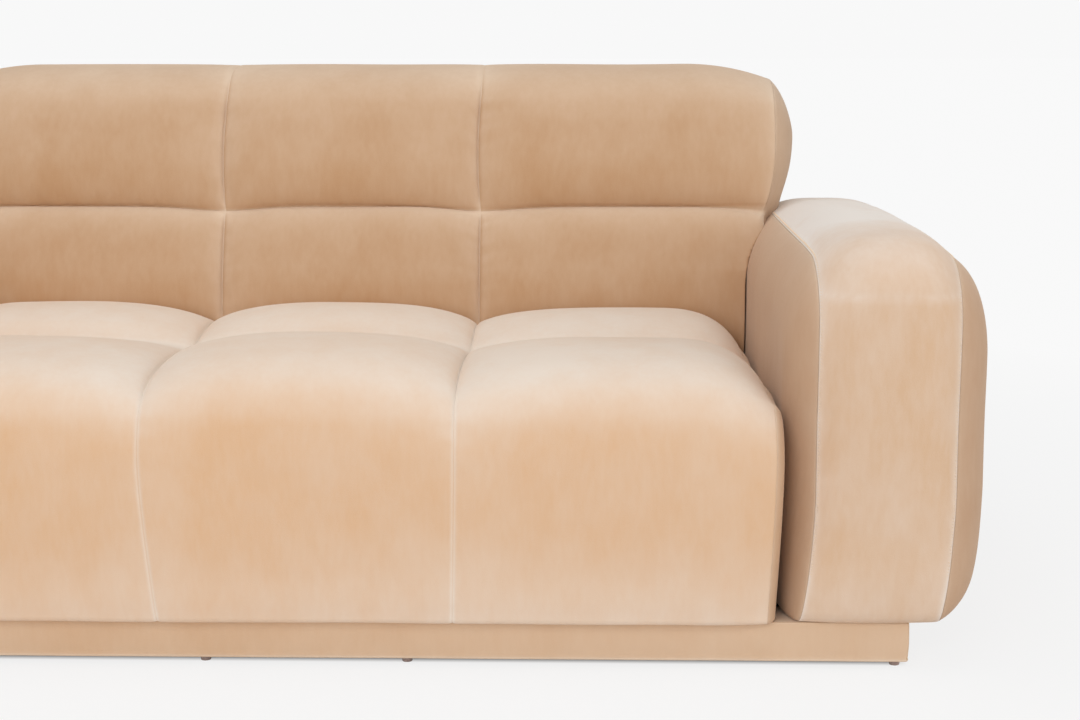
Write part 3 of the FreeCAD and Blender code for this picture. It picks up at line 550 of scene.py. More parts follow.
def tailor(ring):
    """Tapers the seat's seams and ends towards the foot, and its ends towards the back."""
    ring = ring.copy()
    x, y, z = ring.T
    low = np.clip((TAPER_START - z) / TAPER_HEIGHT, 0, 1) ** 1.3
    for way, taper in SEAM_TAPER.items():
        inner = np.clip((way * x + COLUMN_HALF) / (2 * COLUMN_HALF), 0, 1)
        outer = np.clip((SEAT_SEAM - way * x) / (SEAT_SEAM - COLUMN_HALF), 0, 1)
        ring[:, 0] += taper * low * np.minimum(inner, outer)
    end = np.clip((np.abs(x) - COLUMN_HALF) / (SEAT_SEAM - COLUMN_HALF), 0, 1)
    ring[:, 0] -= np.sign(x) * (end * END_TAPER * low + end ** 3 * SEAT_TOE * toe(y))
    return ring


rings = []
painted_sheens = []
seat_columns = (
    (-SEAT_SEAM, -COLUMN_HALF, 1.7), (-COLUMN_HALF, COLUMN_HALF, 4.1), (COLUMN_HALF, SEAT_SEAM, 9.4),
)
for start, end, seed in seat_columns:
    for share in crowded(72)[int(start > -SEAT_SEAM):]:
        x = start + share * (end - start)
        ring, painted_sheen = seat_ring(x, seed + (share > 0.5))
        rings.append(tailor(ring))
        painted_sheens.append(painted_sheen)
seat_velvet = velvet("seat_velvet", shade(219, 177, 137), shade(233, 219, 205))
seat = skin("seat_upholstery", rings, painted_sheens)
dress(seat, seat_velvet, "velvet", "seat_cover")


def dome_draw(share):
    """How far a dome is drawn in where it has risen by a share of its height."""
    return 0.31 * share + 0.69 * (1 - math.sqrt(max(0, 1 - share ** 2)))


# Sizes of the rings on a panel's flat base, as shares of its outline
BASE_SHARES = (0.02, 0.4, 0.75, 0.92)
PANEL_PAINTED_SHEEN = 0.55


def panel(name, outline, x, way, finish, stands_for, rise, draw, crown, foot):
    """A domed panel on an outline of rear distance and height, rising from x by rise and then by crown.

    The outline is drawn in by draw at the top and the sides, and by a share of it, foot, at the bottom.
    """
    outline = np.asarray(outline, float)
    low, high = outline.min(0), outline.max(0)
    middle, half = (low + high) / 2, (high - low) / 2
    run = run_of(outline)
    share_of_draw = np.column_stack([np.ones(len(run)), np.where(outline[:, 1] < middle[1], foot, 1)])
    rings = []
    painted_sheens = []
    for share in BASE_SHARES:
        rings.append(set_at(x, middle + (outline - middle) * share))
        painted_sheens.append(np.zeros(len(run)))
    for share in np.sin(np.linspace(0, math.pi / 2, 24)):
        inset = draw * dome_draw(share)
        gap = np.full(len(run), share * rise)
        inset = inset + ripple(run, gap, pitch=11, depth=1.0, reach=14, seed=x / 37)
        loop = middle + (outline - middle) * (1 - inset[:, None] * share_of_draw / half)
        rings.append(set_at(x + way * rise * share, loop))
        # Painted sheen: palest at the seam and fading as the dome rises
        painted_sheens.append(np.full(len(loop), PANEL_PAINTED_SHEEN * math.exp(-share * rise / 4)))
    flat = rings[-1][:, 1:]
    for share in np.linspace(0.95, 0.02, 20):
        loop = middle + (flat - middle) * share
        sag = np.array([noise.noise(Vector((a / 160, b / 160, x / 90))) for a, b in loop])
        level = x + way * (rise + (crown + sag) * (1 - share ** 2))
        rings.append(np.column_stack([level, loop]))
        painted_sheens.append(np.zeros(len(loop)))
    obj = dress(skin(name, rings, painted_sheens), finish, "velvet", stands_for)
    return obj


# Painted shade: the seat's end panels get a darker copy of the seat's velvet, as they sit in shade beside the
# arms
shaded_gusset_velvet = velvet("shaded_gusset_velvet", shade(200, 163, 130), shade(224, 202, 180))
SIDES = (("left", -1), ("right", 1))
GUSSET_FOOT = 67.4
for side, way in SIDES:
    end_ring = rings[-1] if way > 0 else rings[0]
    end_line = end_ring[: len(seat_line), 1:]
    foot = np.column_stack([np.linspace(217, -426, 40), np.full(40, GUSSET_FOOT)])
    gusset = panel(
        "seat_%s_end_panel" % side, np.vstack([end_line, foot]), way * SEAT_SEAM, way, shaded_gusset_velvet,
        "seat_%s_gusset" % side, rise=13, draw=24, crown=1, foot=0.05,
    )
    places = np.array([v.co for v in gusset.data.vertices]) * 1000
    gusset.data.vertices.foreach_set("co", (tailor(places) / 1000).ravel())

# Back frame. Four posts sawn from board, leaning back above the seat, with a softwood rail on top and
# short rails between the posts at seat level.
sawn_board = finish_of("sawn_board")
layers = sawn_board.speckle(30, 5, (8, 1, 1))
sawn_board.mottled(layers, (168, 130, 90), (204, 172, 130), rough=0.65, varies=0.2, depth=0.0004)
wear(
    sawn_board, "back_left_end_post", "back_left_middle_post", "back_right_middle_post",
    "back_right_end_post",
)
wear(timber, "back_top_rail", "back_lower_rails")

# Rear panel. A board that closes the back from behind, wrapped in wadding and velvet with rounded edges
# and a shallow swell. At each side a flap of the velvet is pulled round the end post and stapled to it.
# Painted shade: a darker copy of the velvet for the back, its rear panel and its flaps, as the back gets less
# light than the seat
shaded_back_velvet = velvet("shaded_back_velvet", shade(190, 150, 113), shade(222, 198, 174))
board_low, board_high = mm("back_rear_panel")
BOARD, BULGE = 15.0, 6.0
board_rise = board_high[2] - board_low[2]
rear_lean = (board_high[1] - board_low[1] - BOARD) / board_rise
turn = np.radians(np.arange(0, 360, 4.5))
rings = []
for share in (-1, -0.998, -0.99, -0.96, -0.8, -0.5, -0.2, 0.2, 0.5, 0.8, 0.96, 0.99, 0.998, 1):
    draw = 1 - 0.02 * abs(share) ** 300
    z = (board_low[2] + board_high[2]) / 2 + board_rise / 2 * draw * boxy(np.sin(turn), 0.08)
    depth = boxy(np.cos(turn), 0.15)
    height = np.clip((z - board_low[2]) / board_rise, 0, 1)
    bulge = BULGE * (1 - share ** 4) * (1 - (2 * height - 1) ** 4)
    y = board_low[1] + BOARD / 2 * (1 + depth) + rear_lean * (z - board_low[2]) + bulge * (depth > 0)
    rings.append(np.column_stack([np.full(len(y), board_high[0] * share), y, z]))
# Painted sheen: a small even share over the rear, its flaps and the arms' under strips
REAR_PAINTED_SHEEN = 0.1
rear = skin("back_rear_upholstery", rings, np.full((len(rings), len(turn)), REAR_PAINTED_SHEEN))
dress(rear, shaded_back_velvet, "velvet", "back_rear_panel")
FLAP, FLAP_THICKNESS, FLAP_RISE, FLAP_TOP, FLAP_START = 140.0, 1.8, 1.5, 331.0, 2.0
flap_levels = np.linspace(board_low[2] + FLAP_RISE, FLAP_TOP, 12)
for side, way in SIDES:
    rings = []
    for z in flap_levels:
        y = board_low[1] + BOARD - FLAP_START + rear_lean * (z - board_low[2]) - np.linspace(0, FLAP, 10)
        x = way * (board_high[0] + CLEAR + FLAP_THICKNESS * np.repeat([0, 1], len(y)))
        rings.append(np.column_stack([x, np.concatenate([y, y[::-1]]), np.full(2 * len(y), z)]))
    flap = skin("back_%s_rear_flap" % side, rings, np.full((len(rings), len(rings[0])), REAR_PAINTED_SHEEN))
    dress(flap, shaded_back_velvet, "velvet", "back_rear_panel")
    "back_%s_end_post" % side

# Back upholstery. The same quilting in three columns and two rows over the front and the top of the back.
# Its ends spread over the arms, and a crowned gusset closes each one.
ROW_SEAM, UPPER_HEIGHT, BACK_CROWN = 187.15, 230.0, 31.0
LEAN_RUN, LEAN_RISE = 133.0, 409.5
HEM_FRONT, HEM_LEVEL = 128.5, 398.6
lean = np.array([LEAN_RUN, LEAN_RISE]) / math.hypot(LEAN_RUN, LEAN_RISE)
forward = np.array([-lean[1], lean[0]])
hem = np.array([HEM_FRONT, HEM_LEVEL])


def leaning(distance, crown):
    """A point of the back at a distance up the lean, swollen forward by crown."""
    return hem + distance * lean + crown * forward


def quilt_point(distance, share):
    """A point of a row at a share of its height, with the depth of the column seams there."""
    crown = BACK_CROWN * float(swell(np.array(share), 3.4, 0.55))
    return (*leaning(distance, crown), 0.66 * crown, 0.35)


row_steps = crowded(25)
LOWER_ROW = [(163, HEM_LEVEL, 0, 0), (145, HEM_LEVEL, 0, 0)]
LOWER_ROW += [quilt_point(ROW_SEAM * s, s) for s in row_steps]
UPPER_ROW = [quilt_point(ROW_SEAM + UPPER_HEIGHT * s, s) for s in row_steps if s <= 0.5]
# Round over the top to the rear edge
UPPER_ROW += [
    (204.5, 730, 23, 0.4), (219.5, 758, 16, 0.6), (244, 782, 9, 0.85), (279, 799, 4, 1), (320, 807, 2, 1),
    (362, 808, 2, 1), (410, 803, 2, 1), (448, 789, 2, 0.9), (468, 769, 2, 0.8), (476, 748.5, 1, 0.6),
]
lower_row = along(LOWER_ROW, 76)
upper_row = along(UPPER_ROW, 116)
INNER_STEPS = 17
# The hidden inner side, from the rear edge over the top rail and down along the foam
hollow = np.array([(400, 748.6), (277, 748.6), (220, 574), (163.6, 400)])
BACK_SEAM = 705.5
BLOCK_HALF = 650.0
END_START, END_DROP, END_TUCK = 560.0, 25.0, 21.0
TUCK_TOP, TUCK_HEIGHT = 690.0, 125.0
CROSSING_SAG, CROSSING_REACH = 7.0, 70.0
SEAM_BOW, BOW_LENGTH = 4.5, 215.0
HEM_DIP, HEM_BLEND, FOOT_DEPTH = 21.0, 80.0, 25.0
REAR_EDGE, REAR_LEVEL, REAR_SLOPE = 476.0, 748.0, 0.0881
ARM_FACE = 653.0
SEAM_IN, SEAM_OUT, SEAM_TOP = 704.5, 894.5, 561.0
ARM_DRAW, INNER_REACH, TOP_SWELL = 96.0, 50.0, 23.0


def stepped(points, count):
    """Points evenly spaced along straight lines from one point to the next."""
    points = np.array(points, float)
    run = run_of(points)
    return np.column_stack([np.interp(np.linspace(0, run[-1], count), run, column) for column in points.T])


def hem_level(x):
    """Level of the back's hem, which follows the seat below it."""
    return HEM_LEVEL - HEM_DIP * (1 - seat_fullness(x)[1]) - 0.8 * shoulder(x)


def arm_crown(share):
    """How far the arm's band has swollen at a share of its width."""
    return 1 - abs(2 * share - 1) ** 3


def arm_top(x):
    """Level of the arm's upper side at x, under the ends of the back."""
    share = (x - SEAM_IN) / (SEAM_OUT - SEAM_IN)
    if share < 0:
        return SEAM_TOP - ARM_DRAW * dome_draw(min(1.0, (SEAM_IN - x) / INNER_REACH))
    return SEAM_TOP + TOP_SWELL * arm_crown(share)


def back_ring(x, share, lit_side_of_seam, seed):
    """The back's section at x, and its painted sheen and light."""
    full = float(swell(np.array(share), 4.4, 0.55))
    end = np.clip((abs(x) - END_START) / (BACK_SEAM - END_START), 0, 1)
    over = np.clip((abs(x) - ARM_FACE) / (BACK_SEAM - ARM_FACE), 0, 1) ** 2
    floor = hem_level(x)
    lower = lower_row.copy()
    lower[:, 1] -= (1 - np.clip((lower[:, 1] - HEM_LEVEL) / HEM_BLEND, 0, 1)) * (HEM_LEVEL - floor)
    path = np.vstack([lower, upper_row[1:]])
    inside = toward_inside(path)
    run = run_of(path[:, :2])
    seam_run = run - run[len(lower) - 1]
    gap = np.full(len(path), min(share, 1 - share) * 2 * COLUMN_HALF)
    inward = path[:, 2] * (1 - full) + path[:, 3] * END_DROP * end ** 2
    inward = inward + ripple(run, gap, pitch=16, depth=1.6, reach=18, seed=seed)
    inward = inward + 3 * np.exp(-gap / 3) * np.clip(path[:, 2] / 14, 0, 1)
    slack = 1 + 1.6 * np.clip((-250 - x) / 150, 0, 1) * (seam_run > 0)
    seam_gap = np.abs(seam_run)
    inward = inward + slack * ripple(x + 0.5 * seam_gap, seam_gap, pitch=11, depth=1.7, reach=20, seed=2.9)
    broad = np.array([noise.noise(Vector((x / 190, a / 160, b / 160 + 5))) for a, b in path[:, :2]])
    inward = inward + 1.8 * broad * full
    points = path[:, :2] + inside * inward[:, None]
    points[:, 1] -= CROSSING_SAG * np.exp(-(gap / CROSSING_REACH) ** 2 - (seam_run / CROSSING_REACH) ** 2)
    points[:, 1] = np.maximum(points[:, 1], floor)
    inner = stepped([*hollow, (hollow[-1, 0], floor + 1)], INNER_STEPS)
    if abs(x) > ARM_FACE:
        floor = arm_top(abs(x) - END_TUCK * over)
        buried = int(np.argmax(points[:, 1] > floor))
        foot = np.interp(floor, points[buried - 1:buried + 1, 1], points[buried - 1:buried + 1, 0])
        points[:buried, 0] = np.linspace(foot + FOOT_DEPTH, foot, buried)
        points[:buried, 1] = floor
    if abs(x) > BLOCK_HALF + 0.4:
        rear_foot = REAR_EDGE - REAR_SLOPE * (REAR_LEVEL - floor)
        inner = stepped([points[-1], (rear_foot, floor), (points[0, 0] + 20, floor)], INNER_STEPS + 1)[1:]
    # Painted light and sheen make the velvet paler on the upturned lip under the row seam, on the side of
    # each column seam that faces the right-hand lamp, and along the ends
    lip = np.where(seam_run < 0, 0.8, 0.25) * np.exp(-seam_gap / 7)
    rim = np.exp(-(BACK_SEAM - abs(x)) / 14)
    edge = 0.9 * np.exp(-gap / 7) if lit_side_of_seam else 0.5 * np.exp(-gap / 9) - 0.9 * np.exp(-gap / 2.5)
    painted_sheen = edge + np.exp(-gap / 60) * 0.22 + lip + 0.5 * rim
    places = np.full(len(path), x)
    for seam in (-COLUMN_HALF, COLUMN_HALF):
        near = max(0.0, 1 - abs(x - seam) / COLUMN_HALF)
        places = places - SEAM_BOW * near * np.sin(np.pi * np.clip(seam_run / BOW_LENGTH, 0, 1))
    loop = np.vstack([points, inner])
    places = np.concatenate([places, np.full(len(inner), x)])
    tuck = END_TUCK * over * np.clip((TUCK_TOP - loop[:, 1]) / TUCK_HEIGHT, 0, 1) ** 2.2
    places = places - math.copysign(1, x) * tuck
    return np.column_stack([places, loop]), np.concatenate([painted_sheen, np.zeros(len(inner))])


rings = []
painted_sheens = []
back_columns = (
    (-BACK_SEAM, -COLUMN_HALF, 3.3), (-COLUMN_HALF, COLUMN_HALF, 6.2), (COLUMN_HALF, BACK_SEAM, 8.8),
)
# Places where the section changes at once, with a ring close to each side of them
walls = (BLOCK_HALF + 0.2, BLOCK_HALF + 0.6, ARM_FACE - 0.4, ARM_FACE + 0.4)
walls = [way * wall for way in (-1, 1) for wall in walls]
for start, end, seed in back_columns:
    steps = start + crowded(80) * (end - start)
    steps = np.unique(np.concatenate([steps, [x for x in walls if start < x < end]]))
    for x in steps[int(start > -BACK_SEAM):]:
        share = (x - start) / (end - start)
        past = share - 0.5
        toward_end = abs(x) > COLUMN_HALF and past * x > 0
        ring, painted_sheen = back_ring(x, 0.5 + past * (0.86 if toward_end else 1), past > 0, seed + (past > 0))
        rings.append(ring)
        painted_sheens.append(painted_sheen)
back = skin("back_upholstery", rings, painted_sheens)
dress(back, shaded_back_velvet, "velvet", "back_cover", "back_left_end", "back_right_end")
GUSSET, GUSSET_STEPS, GUSSET_ROLL, GUSSET_PAINTED_LIGHT = 36.0, 20, 20.0, 0.3
GUSSET_MIDDLE = np.array([325.0, 672.0])
# Shares of the outline's depth and lower height that are left where the gusset is fullest
DEPTH_KEPT, FOOT_KEPT = 0.4, 0.8


def eased(loop, width):
    """A closed loop with its notches smoothed out over a width counted in points."""
    reach = 3 * width
    weight = np.exp(-(np.arange(-reach, reach + 1) / width) ** 2)
    padded = np.vstack([loop[-reach:], loop, loop[:reach]])
    return np.column_stack([np.convolve(column, weight / weight.sum(), "valid") for column in padded.T])


# Painted shade: a darker copy of the velvet for the back's gussets, which sit in shade beside the arms
shaded_end_velvet = velvet("back_end_velvet", shade(194, 162, 134), shade(216, 194, 172))
FILL_LEVEL, FILL_LEAN = 640.0, 10.0


def filled(edge):
    """The outline of the back's end with the notch of its row seam filled out."""
    loop = edge.copy()
    first = int(np.argmax(loop[:, 2] > FILL_LEVEL))
    under = edge[:, 2] < edge[0, 2] + 0.001
    foot, heel = edge[under, 1].min(), edge[under, 1].max()
    fall = (FILL_LEVEL - edge[:first, 2]) / (FILL_LEVEL - edge[0, 2])
    loop[:first, 1] = loop[first, 1] + FILL_LEAN * fall
    loop[under, 1] = heel + (edge[under, 1] - heel) * (heel - loop[first, 1] - FILL_LEAN) / (heel - foot)
    count = np.arange(len(loop))
    weight = np.clip((count - 20) / 10, 0, 1) * np.clip((first + 45 - count) / 30, 0, 1)
    return loop + (eased(loop, 8) - loop) * weight[:, None]


for side, way, edge in (("left", -1, rings[0]), ("right", 1, rings[-1])):
    grown = []
    for share in np.sin(np.linspace(0, math.pi / 2, GUSSET_STEPS)):
        ring = edge.copy()
        ring += (filled(edge) - edge) * min(1, share / 0.3)
        ring[:, 0] += way * GUSSET * share
        offset = ring[:, 1:] - GUSSET_MIDDLE
        above = np.maximum(offset[:, 1], 0)
        kept = np.column_stack([
            DEPTH_KEPT * offset[:, 0],
            GUSSET_ROLL * (1 - np.exp(-above / GUSSET_ROLL)) + FOOT_KEPT * np.minimum(offset[:, 1], 0),
        ])
        ring[:, 1:] += (kept - offset) * dome_draw(share)
        ring[:, 2] = np.maximum(ring[:, 2], [arm_top(abs(x)) for x in ring[:, 0]])
        grown.append(ring)
    apex = np.array([way * (BACK_SEAM + GUSSET), *GUSSET_MIDDLE])
    rim = grown[-1]
    for share in np.linspace(0.9, 0.05, 10):
        grown.append(apex + (rim - apex) * share)
    # Painted light: the gusset stays darker at its seam, where shade falls, and grows paler towards its
    # middle
    shares = [min(1, k / (GUSSET_STEPS - 1)) for k in range(len(grown))]
    painted_sheen = [np.full(len(edge), GUSSET_PAINTED_LIGHT * share) for share in shares]
    gusset = skin("back_%s_gusset_panel" % side, grown, painted_sheen)
    dress(gusset, shaded_end_velvet, "velvet", "back_%s_end" % side)

# Arm boxes. Thin inner and outer face boards over sawn front, rear, top and base boards.
# Each box is screwed down to the plinth through its base board.
for side in ("left", "right"):
    for part in ("inner", "outer", "front", "rear", "top", "base"):
        wear(sawn_board, "%s_arm_%s_board" % (side, part))

# Arm upholstery. Each arm is a box cushion: a crowned velvet band over the front, the top and the rear of the
# boards, with a seam across its front, sewn with short stitches between a domed inner and outer panel.
# A strip of the same velvet closes the underside where the arm overhangs the plinth.
arm_velvet = velvet("arm_velvet", shade(214, 179, 146), shade(240, 234, 228), 0.3)
# Painted shade: a darker copy of the velvet for the arms' inner and outer panels and under strips, which face
# away from the main light
shaded_side_velvet = velvet("arm_side_velvet", shade(192, 157, 128), shade(214, 190, 167))
ARM_FRONT, ARM_REAR, ARM_FOOT, ARM_TOP = -461.5, 428.5, 67.4, 598.0
FACE_CROWN, TOP_CROWN, ARM_ROUND, SEAM_ROUND, FOOT_ROUND = 30.0, 36.0, 92.0, 25.0, 24.0
CROSS_SEAM, FAR_OFF, REAR_FALL = 521.0, 999.0, 20.0
ARM_TOE, INNER_RISE, OUTER_RISE = 9.0, 40.0, 53.0
core_low, core_high = mm("right_arm_inner_board")


def arm_line(share):
    """The arm's line at a share of the band's width, from the front foot over the top to the rear foot."""
    crown = arm_crown(share)
    slack = FACE_CROWN * (1 - crown)
    front, rear = ARM_FRONT + slack, ARM_REAR - slack
    top = ARM_TOP - TOP_CROWN * (1 - crown)
    fall = REAR_FALL * crown
    turn = np.radians(np.linspace(0, 90, 16))
    tuck = np.radians(np.linspace(0, 90, 7))
    heel, heel_level = ARM_FRONT + 0.25 * slack + FOOT_ROUND, ARM_FOOT + FOOT_ROUND
    points = [(heel - FOOT_ROUND * math.sin(a), heel_level - FOOT_ROUND * math.cos(a)) for a in tuck]
    points += [(ARM_FRONT + 0.65 * slack, 200), (front, 340)]
    reach = ARM_ROUND + SEAM_ROUND * (1 - crown) * (share < 0.5)
    points += [(front + reach - reach * math.cos(a), top - ARM_ROUND + ARM_ROUND * math.sin(a)) for a in turn]
    points += [(-100, top + 0.5), (50, top - 0.15 * fall), (190, top - 0.5 * fall)]
    y, z = rear - ARM_ROUND, top - fall - ARM_ROUND
    points += [(y + ARM_ROUND * math.sin(a), z + ARM_ROUND * math.cos(a)) for a in turn]
    points += [(rear, 330), (rear - 0.5, 200)]
    heel = rear - FOOT_ROUND
    points += [(heel + FOOT_ROUND * math.cos(a), heel_level - FOOT_ROUND * math.sin(a)) for a in tuck]
    return along(points, 260)


LEAN_IN, LEAN_TOP, LEAN_HEIGHT = 20.0, 250.0, 185.0
LEAN_START, LEAN_BLEND = 660.0, 40.0


def lean_in(ring, way):
    """Draws the arm's lower third in towards the seat."""
    ring = np.array(ring, float)
    low = np.clip((LEAN_TOP - ring[..., 2]) / LEAN_HEIGHT, 0, 1)
    outward = np.clip((np.abs(ring[..., 0]) - LEAN_START) / LEAN_BLEND, 0, 1)
    ring[..., 0] -= way * LEAN_IN * low ** 1.7 * outward
    return ring


STITCH, STITCH_GAP, STRANDS = 4.2, 4.4, 6
# Girth and lift of a stitch from one end to the other
SPINDLE = ((0.15, -0.3), (0.42, 0.2), (0.48, 0.4), (0.42, 0.2), (0.15, -0.3))


def between(where, run, rows):
    """A point or direction at a distance along a path, from the rows at its points."""
    return np.array([np.interp(where, run, column) for column in rows.T])


def stitches(name, path, inward):
    """A row of short threads along a path, each a bent spindle that dips into the velvet at its ends."""
    run = run_of(path)
    points = []
    faces = []
    for start in np.arange(4, run[-1] - 8, STITCH_GAP):
        here, there = between(start, run, path), between(start + 2, run, path)
        inner = between(start, run, inward)
        across = np.cross((there - here) / 2, inner)
        ahead = across + (there - here) / 5
        across = np.cross(ahead / np.linalg.norm(ahead), inner)
        base = len(points)
        for k, (girth, lift) in enumerate(SPINDLE):
            station = here + ahead * STITCH * (k / 4 - 0.5)
            for turn in range(STRANDS):
                angle = turn * math.pi / 3
                offset = across * math.cos(angle) * girth - inner * (math.sin(angle) * girth + lift)
                points.append(station + offset)
        last = len(points) - STRANDS
        for ring in range(base, last, STRANDS):
            for turn in range(STRANDS):
                after = (turn + 1) % STRANDS
                faces.append([ring + turn, ring + after, ring + STRANDS + after, ring + STRANDS + turn])
        faces += [[end + turn for turn in range(STRANDS)] for end in (base, last)]
    return closed(name, points, faces)


thread = finish_of("thread")
twist = thread.speckle(2500, 2)
thread.mottled(twist, (224, 196, 164), (240, 220, 196), rough=0.55, varies=0.2, depth=0.0001)

band_shares = np.unique(np.round(np.concatenate([crowded(44), [0.004, 0.996]]), 4))
# The band's inner side goes round the boards with a small gap. Beside them it cuts their upper corners off
CORE_GAP, CORE_EDGE, CHAMFER = 0.4, 3.0, 45.0
CORE_MIDDLE = np.array([0.0, 300.0])
# How far the turned edge behind each seam is drawn in, set to the side and kept off the boards
EDGE_IN, EDGE_SIDE, EDGE_OFF = 10.0, 12.0, 2.0
STRIP_START, STRIP_END, STRIP_EDGE, STRIP_LAP = 1.5, 1.5, 1.8, 0.3
STRIP_LOW, STRIP_HIGH, STRIP_TOP = 65.2, 66.7, 76.0
STITCH_INSET, STITCH_TRIM = 2.5, 12
for side, way in SIDES:
    band_rings = []
    band_painted_sheens = []
    for share in band_shares:
        x = SEAM_IN + share * (SEAM_OUT - SEAM_IN)
        crown = arm_crown(share)
        line = arm_line(share)
        inside = toward_inside(line)
        run = run_of(line)
        gap = np.full(len(line), min(share, 1 - share) * (SEAM_OUT - SEAM_IN))
        seed = 3.1 + way + (share > 0.5) * 5
        inward = ripple(run, gap, pitch=7, depth=2.4, reach=9, seed=seed)
        cross = np.where(line[:, 0] < 0, np.abs(line[:, 1] - CROSS_SEAM), FAR_OFF)
        inward = inward + 1.6 * np.exp(-(cross / 3.0) ** 2) * (1 - np.exp(-gap / 4))
        broad = np.array([noise.noise(Vector((x / 150 * way, a / 170, b / 170 + 9))) for a, b in line])
        inward = inward + 1.8 * broad * crown
        line = line + inside * inward[:, None]
        line[:, 1] = np.maximum(line[:, 1], ARM_FOOT - 0.2)
        chamfer = CORE_EDGE + CHAMFER * np.clip((core_low[0] - x) / 6, 0, 1)
        front, rear, top = core_low[1] - CORE_GAP, core_high[1] + CORE_GAP, core_high[2] + CORE_GAP
        core = np.array([
            (rear, ARM_FOOT), (rear, top - chamfer), (rear - chamfer, top), (front + chamfer, top),
            (front, top - chamfer), (front, ARM_FOOT),
        ])
        loop = np.vstack([line, core])
        band_rings.append(set_at(way * x, loop))
        # Painted sheen and light make the velvet paler along the seams, at the foot and on the top, where the
        # lamp above falls
        low = np.clip((170 - line[:, 1]) / 100, 0, 1)
        above = np.clip((line[:, 1] - CROSS_SEAM) / 4, 0, 1)
        above = above * np.clip((line[:, 0] + 420) / 220, 0.1, 1) * np.clip((420 - line[:, 0]) / 90, 0, 1)
        painted_sheen = np.exp(-gap / 4) * 0.8 + 0.35 * np.exp(-cross / 5) + 0.3 * low + above
        band_painted_sheens.append(np.concatenate([painted_sheen, np.zeros(len(core))]))
        if share in (0, 1):
            hidden = band_rings[-1].copy()
            hidden[:len(line), 1:] += EDGE_IN * inside
            hidden[len(line):, 1:] += EDGE_OFF * np.sign(core - CORE_MIDDLE)
            hidden[:, 0] += way * (EDGE_SIDE if share == 0 else -EDGE_SIDE)
            hidden[:, 2] = np.maximum(hidden[:, 2], ARM_FOOT)
            band_rings.insert(len(band_rings) - (share == 0), hidden)
            band_painted_sheens.append(band_painted_sheens[-1])
    band = skin("%s_arm_band_cushion" % side, lean_in(band_rings, way), band_painted_sheens)
    dress(band, arm_velvet, "velvet", "%s_arm_band" % side)
    outlines = []
    for share in (0, 1):
        line = arm_line(share)
        foot = np.column_stack([np.linspace(line[-1, 0] - 12, line[0, 0] + 12, 40), np.full(40, ARM_FOOT)])
        outlines.append(np.vstack([line, foot]))
    inner = panel(
        "%s_arm_inner_panel" % side, outlines[0], way * SEAM_IN, -way, shaded_side_velvet,
        "%s_arm_inner_pad" % side, rise=INNER_RISE, draw=ARM_DRAW, crown=1, foot=0.02,
    )
    outer = panel(
        "%s_arm_outer_panel" % side, outlines[1], way * SEAM_OUT, way, shaded_side_velvet,
        "%s_arm_outer_pad" % side, rise=OUTER_RISE, draw=ARM_DRAW, crown=1.5, foot=0.6,
    )
    for pad in (inner, outer):
        places = np.array([v.co for v in pad.data.vertices]) * 1000
        risen = np.clip((SEAM_IN - np.abs(places[:, 0])) / INNER_RISE, 0, 1)
        places[:, 0] -= way * ARM_TOE * risen * toe(places[:, 1])
        base = len(BASE_SHARES) * len(outlines[0])
        places[base:] = lean_in(places[base:], way)
        pad.data.vertices.foreach_set("co", (places / 1000).ravel())
    start, edge, lap = plinth_high[0] + STRIP_START, SEAM_OUT + STRIP_EDGE, SEAM_OUT + STRIP_LAP
    under_side = [(start, STRIP_LOW), (SEAM_OUT, STRIP_LOW)]
    under_side += [(edge, STRIP_LOW + STRIP_EDGE), (edge, STRIP_TOP)]
    upper_side = [(lap, STRIP_TOP), (lap, STRIP_HIGH + 0.5), (SEAM_OUT, STRIP_HIGH), (start, STRIP_HIGH)]
    section = np.array(under_side + upper_side)
    strip_ends = core_low[1] + STRIP_END, core_high[1] - STRIP_END
    rings = []
    for y in np.linspace(*strip_ends, 12):
        rings.append(np.column_stack([way * section[:, 0], np.full(len(section), y), section[:, 1]]))
    strip = skin("%s_arm_under_strip" % side, rings, np.full((len(rings), len(section)), REAR_PAINTED_SHEEN))
    dress(strip, shaded_side_velvet, "velvet", "%s_arm_outer_pad" % side)
    (strip_ends[1] - strip_ends[0]) / 1000
    "%s_arm_base_board" % side
    "%s_arm_outer_board" % side
    for x, label in ((SEAM_IN + STITCH_INSET, "inner"), (SEAM_OUT - STITCH_INSET, "outer")):
        line = arm_line((x - SEAM_IN) / (SEAM_OUT - SEAM_IN))
        path = lean_in(set_at(way * x, line), way)
        inward = set_at(0, toward_inside(line))
        sewn = slice(STITCH_TRIM, -STITCH_TRIM)
        row = stitches("%s_arm_%s_stitches" % (side, label), path[sewn], inward[sewn])
        row.data.materials.append(thread.owner)
        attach(row, "root")

# Room, light and camera. A pale seamless floor, large soft lamps in front and above, and the
# photograph's own viewpoint.
PAPER = 0.945
paper = finish_of("paper")


def seen(finish):
    """Where the view, a reflection or glass looks straight at the backdrop."""
    kinds = ("Camera", "Glossy", "Transmission")
    camera_ray, mirrored, through = [finish.node("LightPath", output="Is %s Ray" % kind) for kind in kinds]
    return (camera_ray + mirrored + through).spread(0, 1)


def off_middle(axis):
    """Distance on the floor from the sofa's middle, along one axis."""
    along_axis = paper.node("SeparateXYZ", inputs={0: paper.place}, output=axis)
    return along_axis.math("ABSOLUTE", along_axis)


away = paper.node("VectorMath", {"operation": "LENGTH"}, {0: paper.place}, "Value").spread(1.1, 2.6)
matt = paper.node("BsdfDiffuse", inputs={"Color": (0.85, 0.85, 0.85, 1)})
plain = paper.node("Emission", inputs={"Color": (PAPER, PAPER, PAPER, 1)})
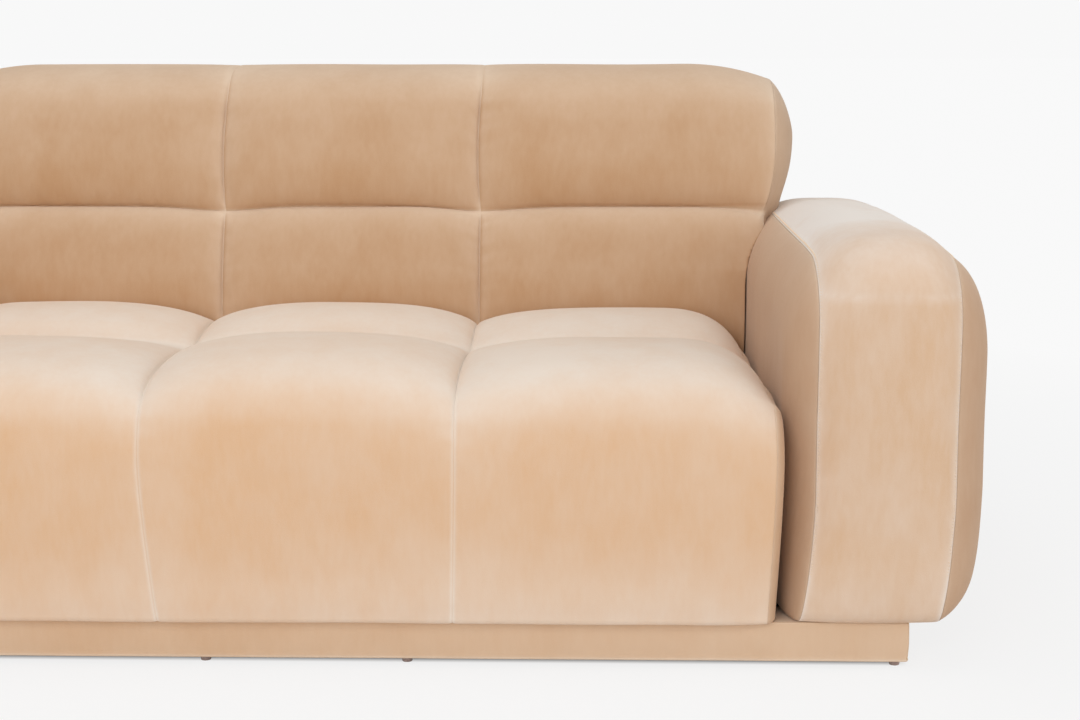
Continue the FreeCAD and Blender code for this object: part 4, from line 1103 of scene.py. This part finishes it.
# Half sizes of the dark floor under the plinth, and the floor's paleness near the sofa
UNDER_X, UNDER_Y, UNDER_EDGE = 0.84, 0.425, 0.02
NEAR_PALE = 0.86
under = (UNDER_X - off_middle("X")).spread(0, UNDER_EDGE) * (UNDER_Y - off_middle("Y")).spread(0, UNDER_EDGE)
pale = seen(paper) * (NEAR_PALE + (1 - NEAR_PALE) * away) * (1 - under)
blend = paper.node("MixShader", inputs={0: pale, 1: matt, 2: plain})
paper.plug(paper.tree.nodes["Material Output"].inputs["Surface"], blend)
floor_mesh = bpy.data.meshes.new("floor")
floor_mesh.from_pydata([(-40, -40, 0), (40, -40, 0), (40, 40, 0), (-40, 40, 0)], [], [(0, 1, 2, 3)])
floor = bpy.data.objects.new("floor", floor_mesh)
floor_mesh.materials.append(paper.owner)
bpy.context.scene.collection.objects.link(floor)
floor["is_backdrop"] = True

room = Finish(bpy.data.worlds.new("room"))
bpy.context.scene.world = room.owner
fill = room.node("Background", inputs={"Color": (1, 0.99, 0.98, 1), "Strength": 0.45})
wall = room.node("Background", inputs={"Color": (0.94, 0.94, 0.94, 1), "Strength": 1.0})
blend = room.node("MixShader", inputs={0: seen(room), 1: fill, 2: wall})
room.plug(room.tree.nodes["World Output"].inputs["Surface"], blend)


def lamp(name, place, aim, width, power):
    """A square soft lamp that faces a point."""
    light = bpy.data.lights.new(name, "AREA")
    light.size = width
    light.energy = power
    obj = bpy.data.objects.new(name, light)
    obj.location = place
    obj.rotation_euler = (Vector(aim) - Vector(place)).to_track_quat("-Z", "Y").to_euler()
    bpy.context.scene.collection.objects.link(obj)


lamp("front_lamp", (-0.6, -4.6, 2.2), (0, 0, 0.35), 3.0, 88)
lamp("top_lamp", (-0.4, -0.6, 3.4), (0, -0.1, 0.3), 2.6, 29)
lamp("right_lamp", (3.6, -1.2, 1.3), (0.6, 0, 0.35), 2.0, 26)

lens = bpy.data.cameras.new("camera")
lens.sensor_width = 36
lens.lens = 60.13
camera = bpy.data.objects.new("camera", lens)
camera.matrix_world = (
    Matrix.Translation((0.392, -2.8225, 0.882))
    @ Matrix.Rotation(math.radians(1.5), 4, "Z")
    @ Matrix.Rotation(math.radians(90 - 10.65), 4, "X")
    @ Matrix.Rotation(math.radians(-0.11), 4, "Z")
)
bpy.context.scene.collection.objects.link(camera)
bpy.context.scene.camera = camera
bpy.context.scene.view_settings.view_transform = "Standard"

low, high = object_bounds()
